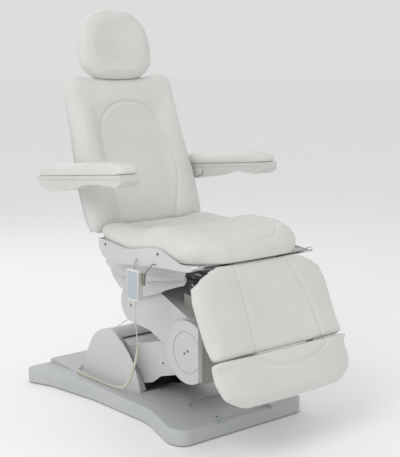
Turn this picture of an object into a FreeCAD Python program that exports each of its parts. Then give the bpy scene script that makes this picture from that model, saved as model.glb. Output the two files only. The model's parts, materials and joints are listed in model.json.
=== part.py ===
import FreeCAD, Part
import math
import os
import re

# A podiatry chair. X is the sitter's left, the chair faces -Y, Z is up from the floor.
# Every outline is drawn from the middle of the base, and row_shift then moves all pieces alike.

Vector = FreeCAD.Vector

doc = FreeCAD.newDocument("podiatry_chair")
sheet = doc.addObject("Spreadsheet::Sheet", "Sizes")

DRIVING = (
    ("row_shift", 142, "moves the base's middle so that the whole chair's box is centred"),
    ("pin_fit", 0.05, "radial clearance of a pin in its bore"),
    ("loose_fit", 0.5, "clearance of a sliding tube"),
    ("side_gap", 4, "clearance between a moving cover and the wall beside it"),
    ("cover_wall", 3, "wall of a moulded cover"),
    ("overrun", 20, "how far a cut runs past the material"),
    ("sheet_steel", 8, "thickness of the steel plates"),
    ("base_front", 531, "front edge of the base"),
    ("base_rear", 522, "rear edge of the base"),
    ("base_waist", 250, "half width of the base at its waist"),
    ("base_toe", 322, "half width of the base at the front"),
    ("base_heel", 337, "half width of the base at the rear"),
    ("base_low", 4, "underside of the base covers"),
    ("base_high", 62, "top of the base covers"),
    ("base_ceiling", 48, "inside top of the base covers"),
    ("base_seam", 110, "joint between the two covers, in front of the middle"),
    ("base_round", 8, "rounding of the base's top edge"),
    ("deck_rise", 22, "how much the rear deck climbs"),
    ("deck_start", 315, "where the rear deck begins to climb"),
    ("deck_half", 200, "half width of the raised deck"),
    ("recess_radius", 130, "round recess in the front deck"),
    ("recess_place", 405, "distance of the recess in front of the middle"),
    ("recess_depth", 8, "depth of the recess"),
    ("lip_half", 140, "half width of the lowered front lip"),
    ("lip_depth", 10, "how much the lip is lowered"),
    ("foot_radius", 26, "radius of a foot"),
    ("foot_height", 8, "height of a foot"),
    ("foot_side", 180, "feet to the side of the middle"),
    ("foot_along", 440, "feet in front of and behind the middle"),
    ("floor_rail_width", 40, "width of the floor frame's rails"),
    ("floor_rail_height", 40, "height of the floor frame's rails"),
    ("floor_cross_height", 32, "height of the floor frame's cross members"),
    ("hump_half", 165, "half width of the hump"),
    ("hump_inner", 115, "half width of the hump where its front falls back"),
    ("hump_low_rear", 305, "rear foot of the hump"),
    ("hump_step", 100, "height of the hump's upright rear foot"),
    ("hump_top", 284, "crest of the hump"),
    ("hump_front", 94, "front foot of the hump, in front of the middle"),
    ("hump_turn_along", 277, "where the hump's rear turns, behind the middle"),
    ("hump_turn_high", 163, "height of that turn"),
    ("hump_slot_edge", 247, "height of the slot's upper edge"),
    ("low_pivot_along", 110, "rear pivot of the lower arm"),
    ("low_pivot_high", 140, "height of the rear pivot"),
    ("low_arm_length", 464, "lower arm between its pins"),
    ("low_arm_rise", 16.5, "slope of the lower arm when the chair is down"),
    ("shaft_radius", 15, "rear pivot shaft"),
    ("arm_pin_radius", 12, "pins of the arms"),
    ("link_pin_radius", 7, "pins of the parallel links"),
    ("link_radius", 10, "half height of the parallel links"),
    ("link_reach", 44, "link pins above the arm pins"),
    ("link_lean", 14, "lower link pins behind the arm pins"),
    ("arm_plate_inner", 60, "inside of the arms' steel plates"),
    ("arm_plate_radius", 24, "half height of the arms' steel plates"),
    ("arm_tube_half", 72, "half length of the tubes at the arm's ends"),
    ("knee_plate_inner", 78, "inside of the knee plates"),
    ("cheek_inner", 84, "inside of the floor frame's upright plates"),
    ("drum_radius", 97, "round rear end of the lower arm cover"),
    ("low_cover_half", 110, "half width of the lower arm cover"),
    ("low_cover_above", 62, "lower arm cover above the pin line"),
    ("low_cover_below", 76, "lower arm cover below the pin line"),
    ("low_cover_end", 395, "front end of the lower arm cover along the arm"),
    ("knee_rise", 73, "upper knee pin above the lower one"),
    ("knee_lead", 10, "upper knee pin in front of the lower one"),
    ("high_arm_length", 351, "upper arm between its pins"),
    ("high_arm_rise", 10.67, "slope of the upper arm when the chair is down"),
    ("high_cover_half", 130, "half width of the upper arm cover"),
    ("high_cover_head", 78, "round rear end of the upper arm cover"),
    ("high_cover_nose", 72, "round front end of the upper arm cover"),
    ("cap_radius", 122, "side caps of the knee"),
    ("cap_inner", 132, "inside of the side caps"),
    ("cap_outer", 150, "outside of the side caps"),
    ("cap_groove", 79, "ring groove in the side caps"),
    ("knee_front", 432, "flat front of the knee cover"),
    ("knee_cover_low", 175, "lower edge of the fluted cover"),
    ("knee_cover_high", 405, "where the fluted cover turns back"),
    ("knee_cover_wall", 5, "wall of the fluted cover"),
    ("flute_width", 9, "width of a flute"),
    ("flute_depth", 2, "depth of a flute"),
    ("flute_count", 14, "flutes across the knee cover"),
    ("hood_half", 88, "half width of the fluted hood on the upper arm"),
    ("hood_rear", 42, "rear foot of the hood behind the lever's pin"),
    ("hood_foot", 30, "foot of the hood under the arm's top"),
    ("head_slot_rear", 130, "slot for the seat's plates behind the head pin"),
    ("lever_slot_rear", 34, "slot for the lever behind its pin"),
    ("lever_slot_front", 60, "slot for the lever in front of its pin"),
    ("lever_slot_foot", 40, "foot of that slot above the knee pin"),
    ("seat_half", 290, "half width of the seat shells"),
    ("seat_front", 600, "front of the seat cushion"),
    ("board_low", 652, "underside of the seat board"),
    ("board_thick", 8, "thickness of the boards"),
    ("seat_deep", 121, "height of the seat cushion over its board"),
    ("seat_high", "=board_low + board_thick + seat_deep", "top of the seat cushion"),
    ("rail_inner", 110, "inside of the seat rails"),
    ("rail_outer", 140, "outside of the seat rails"),
    ("rail_height", 40, "height of the seat rails"),
    ("bell_half", 180, "half width of the cover under the seat"),
    ("bell_inner", 150, "half width at that cover's lower edge"),
    ("bell_high", 608, "top of the cover under the seat"),
    ("back_pivot_along", 42, "back hinge behind the middle"),
    ("back_pivot_high", 700, "height of the back hinge"),
    ("back_shaft_radius", 10, "shaft of the back hinge"),
    ("back_lean", 19, "lean of the back"),
    ("back_inset", 5, "how much the back is narrower than the seat on a side"),
    ("back_half_low", "=seat_half - back_inset", "half width of the back where it is widest"),
    ("back_half_high", 246, "half width of the back at the top"),
    ("back_long", 668, "top of the back along its lean"),
    ("back_start", 46, "lower end of the back cushion"),
    ("back_face", 16, "front face of the back in front of the hinge"),
    ("back_board_deep", 30, "front of the back board behind the hinge"),
    ("back_edge_deep", 52, "rear edge of the back's side"),
    ("back_cover_deep", 82, "rear face of the back cover"),
    ("upright_width", 22, "width of the back frame's uprights"),
    ("post_half", 30, "half width of the headrest post"),
    ("post_thick", 8, "thickness of the headrest post"),
    ("head_drop", 8, "headrest, swell of the lower edge"),
    ("back_low", 14, "back cushion, height of its lower corners over the pivot"),
    ("back_scoop", 54, "dip in the top edge of the back"),
    ("back_scoop_half", 225, "half width of that dip"),
    ("leg_lip", 14, "legrest, upholstery lip past the pivot"),
    ("leg_lip_low", 15.8, "legrest, underside of the lip"),
    ("head_half", 176, "half width of the headrest"),
    ("head_sink", 28, "how far the headrest sits down in the back's dip"),
    ("head_start", "=back_long - head_sink", "lower end of the headrest"),
    ("post_below", 240, "headrest post below the top of the back"),
    ("head_tall", 266, "height of the headrest"),
    ("head_tilt", 9, "forward tilt of the headrest"),
    ("head_thick", 62, "thickness of the headrest cushion"),
    ("arm_out", 55, "armrest centre outside of the seat"),
    ("arm_side", "=seat_half + arm_out", "armrest centre to the side of the middle"),
    ("arm_half", 46, "half width of an armrest"),
    ("arm_fold_along", 85, "armrest hinge behind the middle"),
    ("arm_fold_high", 905, "height of the armrest hinge"),
    ("arm_front", 292, "front end of the armrests"),
    ("arm_rear", 282, "rear end of the armrests"),
    ("arm_slope", 5.3, "rise of the armrests to the front"),
    ("arm_pin", 10, "radius of the armrest hinge pin"),
    ("arm_pad_low", 30, "foot of an armrest pad above the hinge"),
    ("arm_pad_high", 72, "top of an armrest pad above the hinge"),
    ("arm_line", 15, "groove round an armrest above the hinge"),
    ("arm_groove", 1.4, "depth and height of that groove"),
    ("leg_pivot_along", 575, "legrest hinge in front of the middle"),
    ("leg_pivot_high", 640, "height of the legrest hinge"),
    ("leg_shaft_radius", 8, "shaft of the legrest hinge"),
    ("leg_slope", 64.7, "slope of the legrest"),
    ("leg_half", 326, "half width of the legrest"),
    ("leg_lip_half", 222, "half width of the legrest's lip"),
    ("cover_drop", 72, "back cover, its end below the top of the back"),
    ("leg_start", 28, "upper end of the legrest cushion"),
    ("leg_end", 311, "lower end of the legrest cushion"),
    ("leg_face", 28, "face of the legrest above its hinge line"),
    ("leg_back", 20, "rear of the legrest cushion below its hinge line"),
    ("foot_gap", 5, "gap between the legrest and the foot pad"),
    ("foot_long", 172, "length of the foot pad"),
    ("foot_face", 34, "face of the foot pad"),
    ("slide_side", 190, "foot slides to the side of the middle"),
    ("slide_width", 30, "width of the slide tubes"),
    ("slide_height", 24, "height of the slide tubes"),
    ("slide_wall", 3, "wall of the slide tubes"),
    ("remote_out", 13, "hand control outside of the seat's shell"),
    ("remote_side", "=seat_half + remote_out", "hand control to the side of the middle"),
    ("remote_thick", 22, "thickness of the hand control"),
    ("remote_wide", 74, "width of the hand control"),
    ("remote_tall", 118, "height of the hand control"),
    ("remote_along", 248, "hand control in front of the middle"),
    ("remote_low", 494, "lower end of the hand control"),
    ("key_wide", 40, "width of a key"),
    ("key_tall", 14, "height of a key"),
    ("key_pitch", 20, "step from key to key"),
    ("key_gap", 0.4, "gap round a key"),
    ("key_depth", 8, "depth of a key's pocket"),
    ("key_travel", 0.8, "travel of a key"),
    ("curl_radius", 5.8, "outer radius of the curled cord"),
    ("cord_radius", 2.2, "radius of the plain cord"),
    ("drive_side", 80, "back and leg drives to the side of the middle"),
    ("motor_radius", 24, "radius of an actuator's body"),
    ("rod_radius", 9, "radius of an actuator's rod"),
    ("drive_pin", 8, "radius of an actuator's pins"),
    ("eye_wall", 8, "wall round an actuator's eye"),
    ("eye_half", 7, "half thickness of an actuator's eye"),
    ("eye_gap", 3, "gap between an actuator's eye and the plates beside it"),
)


class Sizes:
    pass


def fill_sheet():
    for row, (alias, value, note) in enumerate(DRIVING, start=1):
        sheet.set("A%d" % row, alias)
        sheet.set("B%d" % row, str(value))
        sheet.setAlias("B%d" % row, alias)
        sheet.set("C%d" % row, note)
    doc.recompute()
    for alias, value, note in DRIVING:
        setattr(Sizes, alias, float(sheet.get(alias)))


fill_sheet()
S = Sizes
PARTS = []
X_AXIS = Vector(1, 0, 0)


def bound(text):
    return re.sub(r"[a-z]\w+", lambda word: "Sizes." + word.group(0), text)


def new_body(name):
    piece = doc.addObject("PartDesign::Body", name)
    piece.Label = name
    piece.AllowCompound = True
    PARTS.append(piece)
    return piece


def attach(piece, role, edges, start):
    plane = next(item for item in piece.Origin.OriginFeatures if item.Role == role)
    drawing = piece.newObject("Sketcher::SketchObject", piece.Name + "_drawing")
    drawing.AttachmentSupport = [(plane, "")]
    drawing.MapMode = "FlatFace"
    drawing.addGeometry(edges, False)
    drawing.setExpression(".AttachmentOffset.Base.z", bound(start))
    return drawing


def pad(piece, role, edges, start, length):
    step = piece.newObject("PartDesign::Pad", piece.Name + "_pad")
    step.Profile = attach(piece, role, edges, start)
    step.setExpression("Length", bound(length))
    return step


def pocket(piece, role, edges, start, length):
    step = piece.newObject("PartDesign::Pocket", piece.Name + "_pocket")
    step.Profile = attach(piece, role, edges, start)
    step.Reversed = True
    step.setExpression("Length", bound(length))
    return step


def both_sides(action, piece, edges, inner, outer):
    action(piece, "YZ_Plane", edges, inner, "(%s) - (%s)" % (outer, inner))
    action(piece, "YZ_Plane", edges, "-(%s)" % outer, "(%s) - (%s)" % (outer, inner))


def across(action, piece, edges, half):
    action(piece, "YZ_Plane", edges, "-(%s)" % half, "2 * (%s)" % half)


def seat_at(piece, along="0", high="0", tilt=None):
    if tilt:
        piece.Placement = FreeCAD.Placement(Vector(), FreeCAD.Rotation(X_AXIS, 1))
        piece.setExpression(".Placement.Rotation.Angle", bound(tilt))
    piece.setExpression(".Placement.Base.y", bound("row_shift + (%s)" % along))
    piece.setExpression(".Placement.Base.z", bound(high))


def solid_loft(wires):
    solid = Part.makeLoft(wires, True, True)
    if solid.Volume < 0:
        solid.reverse()
    return solid


def shape_piece(name, shape, along="0", high="0", tilt=None):
    piece = doc.addObject("Part::Feature", name)
    piece.Label = name
    piece.Shape = shape
    seat_at(piece, along, high, tilt)
    PARTS.append(piece)
    return piece


# Outlines in a plane, as lines and tangent arcs
def rounded(corners):
    count = len(corners)
    stops = []
    for index, (first, second, radius) in enumerate(corners):
        here = Vector(first, second, 0)
        back = Vector(corners[index - 1][0], corners[index - 1][1], 0) - here
        ahead = Vector(corners[(index + 1) % count][0], corners[(index + 1) % count][1], 0) - here
        if radius <= 0:
            stops.append((here, None, here))
            continue
        back.normalize()
        ahead.normalize()
        half = back.getAngle(ahead) / 2
        reach = radius / math.tan(half)
        inward = (back + ahead).normalize()
        middle = here + inward * (radius / math.sin(half) - radius)
        stops.append((here + back * reach, middle, here + ahead * reach))
    edges = []
    for index, (start, middle, end) in enumerate(stops):
        if middle:
            edges.append(Part.Arc(start, middle, end))
        following = stops[(index + 1) % count][0]
        if end.distanceToPoint(following) > 1e-6:
            edges.append(Part.LineSegment(end, following))
    return edges


def box(first_low, first_high, second_low, second_high):
    return rounded(((first_low, second_low, 0), (first_high, second_low, 0),
                    (first_high, second_high, 0), (first_low, second_high, 0)))


def ring(first, second, radius):
    return [Part.Circle(Vector(first, second, 0), Vector(0, 0, 1), radius)]


def stadium(start, end, radius):
    a = Vector(start[0], start[1], 0)
    b = Vector(end[0], end[1], 0)
    along = (b - a).normalize() * radius
    side = Vector(-along.y, along.x, 0)
    return [Part.LineSegment(a - side, b - side), Part.Arc(b - side, b + along, b + side),
            Part.LineSegment(b + side, a + side), Part.Arc(a + side, a - along, a - side)]


# Key places of the lift, all in the plane x = 0
LOW_DIR = (-math.cos(math.radians(S.low_arm_rise)), math.sin(math.radians(S.low_arm_rise)))
LOW_UP = (LOW_DIR[1], -LOW_DIR[0])
HIGH_DIR = (math.cos(math.radians(S.high_arm_rise)), math.sin(math.radians(S.high_arm_rise)))


def moved(place, direction, distance, other=(0, 0), offset=0):
    return (place[0] + direction[0] * distance + other[0] * offset,
            place[1] + direction[1] * distance + other[1] * offset)


LOW_REAR = (S.low_pivot_along, S.low_pivot_high)
LOW_KNEE = moved(LOW_REAR, LOW_DIR, S.low_arm_length)
HIGH_KNEE = (LOW_KNEE[0] - S.knee_lead, LOW_KNEE[1] + S.knee_rise)
HEAD = moved(HIGH_KNEE, HIGH_DIR, S.high_arm_length)
LOW_LINK_REAR = (LOW_REAR[0] + S.link_lean, LOW_REAR[1] + S.link_reach)
LOW_LINK_KNEE = (LOW_KNEE[0] + S.link_lean, LOW_KNEE[1] + S.link_reach)
HIGH_LINK_KNEE = (HIGH_KNEE[0] - S.link_lean, HIGH_KNEE[1] + S.link_reach)
HIGH_LINK_HEAD = (HEAD[0] - S.link_lean, HEAD[1] + S.link_reach)
LIFT_DRIVE_TOP = (HEAD[0] + 20, HEAD[1] + 222)
LIFT_DRIVE_EYE = (HEAD[0] - 300, HEAD[1] + 55)
BACK_PIVOT = (S.back_pivot_along, S.back_pivot_high)
BACK_DRIVE_EYE = (BACK_PIVOT[0] + 30, BACK_PIVOT[1] - 50)
BACK_DRIVE_END = (BACK_PIVOT[0] - 372, BACK_PIVOT[1] - 108)
LEG_PIVOT = (-S.leg_pivot_along, S.leg_pivot_high)
LEG_DRIVE_EYE = (LEG_PIVOT[0] + 30, LEG_PIVOT[1] - 55)
LEG_DRIVE_END = (LEG_PIVOT[0] + 345, LEG_PIVOT[1] - 55)


# Base: floor frame, feet and two cover halves
def base_plan(front, inset):
    waist = S.base_waist - inset
    toe = S.base_toe - inset
    heel = S.base_heel - inset
    if front:
        side = ((-S.base_seam, waist, 0), (-S.base_waist, waist, 300), (-S.base_front * 0.88, toe, 60),
                (-S.base_front + inset, toe - 20, 40))
    else:
        side = ((S.base_rear - inset, heel, 34), (0.72 * S.base_rear, S.base_waist + 34 - inset, 200),
                (0.2 * S.base_rear, waist, 200), (-S.base_seam, waist, 0))
    right = [(x, y, r) for y, x, r in side]
    left = [(-x, y, r) for x, y, r in reversed(right)]
    return rounded(right + left)


def soften_top(piece, high, radius):
    doc.recompute()
    tip = piece.Tip
    names = []
    for index, edge in enumerate(tip.Shape.Edges, start=1):
        box_of_edge = edge.BoundBox
        if abs(box_of_edge.ZMin - high) < 0.01 and abs(box_of_edge.ZMax - high) < 0.01:
            if abs(box_of_edge.YMin + S.base_seam) > 1 or abs(box_of_edge.YMax + S.base_seam) > 1:
                names.append("Edge%d" % index)
    step = piece.newObject("PartDesign::Fillet", piece.Name + "_fillet")
    step.Base = (tip, names)
    step.setExpression("Radius", bound(radius))


def make_base():
    frame = new_body("base_frame")
    inner = S.foot_side - S.floor_rail_width / 2
    outer = S.foot_side + S.floor_rail_width / 2
    reach = S.foot_along + S.foot_radius
    for sign in (-1, 1):
        edges = box(min(sign * inner, sign * outer), max(sign * inner, sign * outer), -reach, reach)
        pad(frame, "XY_Plane", edges, "foot_height", "floor_rail_height")
    for middle in (-S.foot_along, S.low_pivot_along, S.foot_along):
        edges = box(-inner, inner, middle - S.floor_rail_width / 2, middle + S.floor_rail_width / 2)
        pad(frame, "XY_Plane", edges, "foot_height", "floor_cross_height")
    low = S.foot_height + S.floor_cross_height
    cheek = rounded(((LOW_REAR[0] - 46, low - 10, 0), (LOW_REAR[0] + 46, low - 10, 0),
                     (LOW_REAR[0] + 34, LOW_LINK_REAR[1] + 16, 16),
                     (LOW_REAR[0] - 20, LOW_LINK_REAR[1] + 16, 16)))
    both_sides(pad, frame, cheek, "cheek_inner", "cheek_inner + sheet_steel")
    across(pocket, frame, ring(LOW_REAR[0], LOW_REAR[1], S.shaft_radius + S.pin_fit),
           "cheek_inner + overrun")
    across(pocket, frame, ring(LOW_LINK_REAR[0], LOW_LINK_REAR[1], S.link_pin_radius + S.pin_fit),
           "cheek_inner + overrun")
    seat_at(frame)

    feet = new_body("base_feet")
    for x in (-S.foot_side, S.foot_side):
        for y in (-S.foot_along, S.foot_along):
            pad(feet, "XY_Plane", ring(x, y, S.foot_radius), "0", "foot_height")
    seat_at(feet)

    pins = new_body("base_pins")
    across(pad, pins, ring(LOW_REAR[0], LOW_REAR[1], S.shaft_radius), "cheek_inner + sheet_steel")
    across(pad, pins, ring(LOW_LINK_REAR[0], LOW_LINK_REAR[1], S.link_pin_radius),
           "cheek_inner + sheet_steel")
    seat_at(pins)

    front = new_body("base_cover_front")
    pad(front, "XY_Plane", base_plan(True, 0), "base_low", "base_high - base_low")
    soften_top(front, S.base_high, "base_round")
    pocket(front, "XY_Plane", base_plan(True, S.cover_wall), "base_low - overrun",
           "base_ceiling - base_low + overrun")
    pocket(front, "XY_Plane", ring(0, -S.recess_place, S.recess_radius), "base_high - recess_depth",
           "recess_depth + overrun")
    lip = box(-S.lip_half, S.lip_half, -S.base_front - S.overrun, -S.recess_place - 0.74 * S.recess_radius)
    pocket(front, "XY_Plane", lip, "base_high - lip_depth", "lip_depth + overrun")
    seat_at(front)

    rear = new_body("base_cover_rear")
    pad(rear, "XY_Plane", base_plan(False, 0), "base_low", "base_high - base_low")
    soften_top(rear, S.base_high, "base_round")
    deck_rear = S.base_rear - S.base_round
    deck = rounded(((S.deck_start, S.base_ceiling, 0), (deck_rear, S.base_ceiling, 0),
                    (deck_rear, S.base_high + S.deck_rise, 12), (S.deck_start, S.base_high, 0)))
    across(pad, rear, deck, "deck_half")
    pocket(rear, "XY_Plane", base_plan(False, S.cover_wall), "base_low - overrun",
           "base_ceiling - base_low + overrun")
    well = box(-S.hump_half + 2 * S.cover_wall, S.hump_half - 2 * S.cover_wall,
               -S.hump_front + 4 * S.cover_wall, S.hump_low_rear - 2 * S.cover_wall)
    pocket(rear, "XY_Plane", well, "base_low", "base_high + overrun")
    seat_at(rear)


# Hump: a ruled skin through four side profiles, hollow, with the arm's slot in front
def hump_profile(x, inset, front_back, low):
    rear = S.hump_low_rear - inset
    top = S.hump_top - inset
    if front_back:
        turn = (S.low_pivot_along - 10, S.hump_slot_edge - inset)
        rise = (122, 270 - inset)
        crest = (146, 279 - inset)
        mids = ((45, 190 - inset), (-5, 134 - inset), (-38, 98 - inset), (-63 + inset, low))
    else:
        turn = (41, 255 - inset)
        rise = (96, top)
        crest = (146, 282 - inset)
        mids = ((-16, 214 - inset), (-65 + inset * 0.7, 146 - inset * 0.7), (-82 + inset, 105),
                (-S.hump_front + inset, low))
    shoulder = (242 - inset * 0.7, 221 - inset * 0.7)
    points = [(rear, low), (rear, S.hump_step), (S.hump_turn_along - inset, S.hump_turn_high), shoulder,
              (203 - inset * 0.6, 257 - inset * 0.8),
              crest, rise, turn, mids[0], mids[1], mids[2], mids[3]]
    v = [Vector(x, y, z) for y, z in points]
    edges = [Part.LineSegment(v[0], v[1]), Part.Arc(v[1], v[2], v[3]), Part.Arc(v[3], v[4], v[5]),
             Part.Arc(v[5], v[6], v[7]), Part.Arc(v[7], v[8], v[9]), Part.Arc(v[9], v[10], v[11]),
             Part.LineSegment(v[11], v[0])]
    return Part.Wire([edge.toShape() for edge in edges])


def make_hump():
    wall = S.cover_wall
    outer = solid_loft([hump_profile(-S.hump_half, 0, False, S.base_high),
                           hump_profile(-S.hump_inner, 0, True, S.base_high),
                           hump_profile(S.hump_inner, 0, True, S.base_high),
                           hump_profile(S.hump_half, 0, False, S.base_high)])
    below = S.base_high - wall
    inner = solid_loft([hump_profile(-S.hump_half + wall, wall, False, below),
                           hump_profile(-S.hump_inner, wall, True, below),
                           hump_profile(S.hump_inner, wall, True, below),
                           hump_profile(S.hump_half - wall, wall, False, below)])
    slot_half = S.low_cover_half + S.side_gap
    slot = Part.makeBox(2 * slot_half, S.low_pivot_along - 10 + S.hump_front + S.overrun, S.hump_top,
                        Vector(-slot_half, -S.hump_front - S.overrun, below))
    shape_piece("hump_cover", outer.cut(inner).cut(slot))


# Lower arm: steel, cover and parallel link
def arm_steel(name, start, end, bore_start, bore_end, cross_half, cross_share):
    piece = new_body(name)
    both_sides(pad, piece, stadium(start, end, S.arm_plate_radius), "arm_plate_inner",
               "arm_plate_inner + sheet_steel")
    for place in (start, end):
        across(pad, piece, ring(place[0], place[1], S.arm_plate_radius - 2), "arm_tube_half")
    middle = (start[0] + (end[0] - start[0]) * cross_share, start[1] + (end[1] - start[1]) * cross_share)
    across(pad, piece, ring(middle[0], middle[1], S.arm_pin_radius), cross_half)
    across(pocket, piece, ring(start[0], start[1], bore_start + S.pin_fit), "arm_tube_half + overrun")
    across(pocket, piece, ring(end[0], end[1], bore_end + S.pin_fit), "arm_tube_half + overrun")
    return piece


def make_link(name, start, end):
    piece = new_body(name)
    pad(piece, "YZ_Plane", stadium(start, end, S.link_radius), "sheet_steel * 4", "sheet_steel * 2")
    pocket(piece, "YZ_Plane", ring(start[0], start[1], S.link_pin_radius + S.pin_fit), "0",
           "sheet_steel * 8")
    pocket(piece, "YZ_Plane", ring(end[0], end[1], S.link_pin_radius + S.loose_fit), "0", "sheet_steel * 8")
    seat_at(piece)


def low_place(along, above):
    return moved(LOW_REAR, LOW_DIR, along, LOW_UP, above)


def low_corner(along, above, radius):
    place = low_place(along, above)
    return (place[0], place[1], radius)


def make_lower_arm():
    steel = arm_steel("lower_arm", LOW_REAR, LOW_KNEE, S.shaft_radius, S.arm_pin_radius,
                      "low_cover_half - cover_wall", 0.5)
    seat_at(steel)
    make_link("lower_link", LOW_LINK_REAR, LOW_LINK_KNEE)

    cover = new_body("lower_arm_cover")
    wall = S.cover_wall
    bar = rounded((low_corner(0, S.low_cover_above, 0), low_corner(0, -S.drum_radius, 0),
                   low_corner(S.drum_radius * 2, -S.drum_radius, 60),
                   low_corner(S.drum_radius * 2.6, -S.low_cover_below, 0),
                   low_corner(S.low_cover_end, -S.low_cover_below, 12),
                   low_corner(S.low_cover_end, S.low_cover_above, 12)))
    across(pad, cover, bar, "low_cover_half")
    across(pad, cover, ring(LOW_REAR[0], LOW_REAR[1], S.drum_radius), "low_cover_half")
    hollow = rounded((low_corner(-S.shaft_radius, S.low_cover_above - wall, 0),
                      low_corner(-S.shaft_radius, -S.drum_radius - S.overrun, 0),
                      low_corner(S.low_cover_end + S.overrun, -S.drum_radius - S.overrun, 0),
                      low_corner(S.low_cover_end + S.overrun, S.low_cover_above - wall, 0)))
    across(pocket, cover, hollow, "low_cover_half - cover_wall")
    across(pocket, cover, ring(LOW_REAR[0], LOW_REAR[1], S.drum_radius - wall),
           "low_cover_half - cover_wall")
    under = box(LOW_REAR[0] - S.drum_radius, LOW_REAR[0] + S.drum_radius,
                LOW_REAR[1] - S.drum_radius - S.overrun, LOW_REAR[1] - S.drum_radius / 2)
    across(pocket, cover, under, "low_cover_half - cover_wall")
    seat_at(cover)


# Knee: plates and pins, side caps and the fluted front
def make_knee():
    block = new_body("knee_block")
    tube = (-S.knee_front + 50, LOW_KNEE[1] - 47)
    low = LOW_KNEE[1] - S.arm_plate_radius - 8
    plate = rounded(((LOW_KNEE[0] + 30, low, 20), (LOW_KNEE[0] + 30, HIGH_KNEE[1], 20),
                     (HIGH_KNEE[0] + 16, HIGH_LINK_KNEE[1] + 14, 14),
                     (HIGH_LINK_KNEE[0] - 16, HIGH_LINK_KNEE[1] + 14, 14),
                     (HIGH_KNEE[0] - 40, HIGH_KNEE[1] - 50, 10), (tube[0] - 20, tube[1] + 20, 14),
                     (tube[0] - 20, tube[1] - 22, 14)))
    both_sides(pad, block, plate, "knee_plate_inner", "knee_plate_inner + sheet_steel")
    across(pad, block, ring(tube[0], tube[1], S.arm_pin_radius + 4), "cap_inner")
    bridge = box(-S.knee_front + S.knee_cover_wall, tube[0], tube[1] - 10, tube[1] + 10)
    both_sides(pad, block, bridge, "knee_plate_inner", "knee_plate_inner + sheet_steel")
    for place, radius in ((LOW_KNEE, S.arm_pin_radius), (HIGH_KNEE, S.arm_pin_radius),
                          (LOW_LINK_KNEE, S.link_pin_radius), (HIGH_LINK_KNEE, S.link_pin_radius)):
        across(pocket, block, ring(place[0], place[1], radius + S.pin_fit), "knee_plate_inner + overrun")
    seat_at(block)

    pins = new_body("knee_pins")
    for place, radius in ((LOW_KNEE, S.arm_pin_radius), (HIGH_KNEE, S.arm_pin_radius),
                          (LOW_LINK_KNEE, S.link_pin_radius), (HIGH_LINK_KNEE, S.link_pin_radius)):
        across(pad, pins, ring(place[0], place[1], radius), "knee_plate_inner + sheet_steel")
    seat_at(pins)

    caps = new_body("knee_caps")
    middle = (LOW_KNEE[0] - 30, LOW_KNEE[1] + 18)
    both_sides(pad, caps, ring(middle[0], middle[1], S.cap_radius), "cap_inner", "cap_outer")
    flat = box(middle[0] - 2 * S.cap_radius, -S.knee_front, middle[1] - 2 * S.cap_radius,
               middle[1] + 2 * S.cap_radius)
    both_sides(pocket, caps, flat, "cap_inner - overrun", "cap_outer + overrun")
    groove = ring(middle[0], middle[1], S.cap_groove + 2) + ring(middle[0], middle[1], S.cap_groove - 2)
    both_sides(pocket, caps, groove, "cap_outer - cover_wall", "cap_outer + overrun")
    seat_at(caps)

    cover = new_body("knee_cover")
    front = -S.knee_front
    wall = S.knee_cover_wall
    panel = rounded(((front, S.knee_cover_low, 0), (front, S.knee_cover_high, 20),
                     (front + 30, S.knee_cover_high + 30, 0),
                     (front + 30 + wall, S.knee_cover_high + 30 - wall, 0),
                     (front + wall, S.knee_cover_high - 2, 15), (front + wall, S.knee_cover_low, 0)))
    across(pad, cover, panel, "cap_inner")
    pitch = 2 * (S.cap_inner - S.flute_width) / S.flute_count
    edges = box(front - S.overrun, front + S.flute_depth, S.knee_cover_low - S.overrun,
                S.knee_cover_high - 14)
    for index in range(int(S.flute_count)):
        start = -S.cap_inner + S.flute_width + (index + 0.5) * pitch - S.flute_width / 2
        pocket(cover, "YZ_Plane", edges, "%.4f * cap_inner" % (start / S.cap_inner), "flute_width")
    seat_at(cover)


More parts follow.
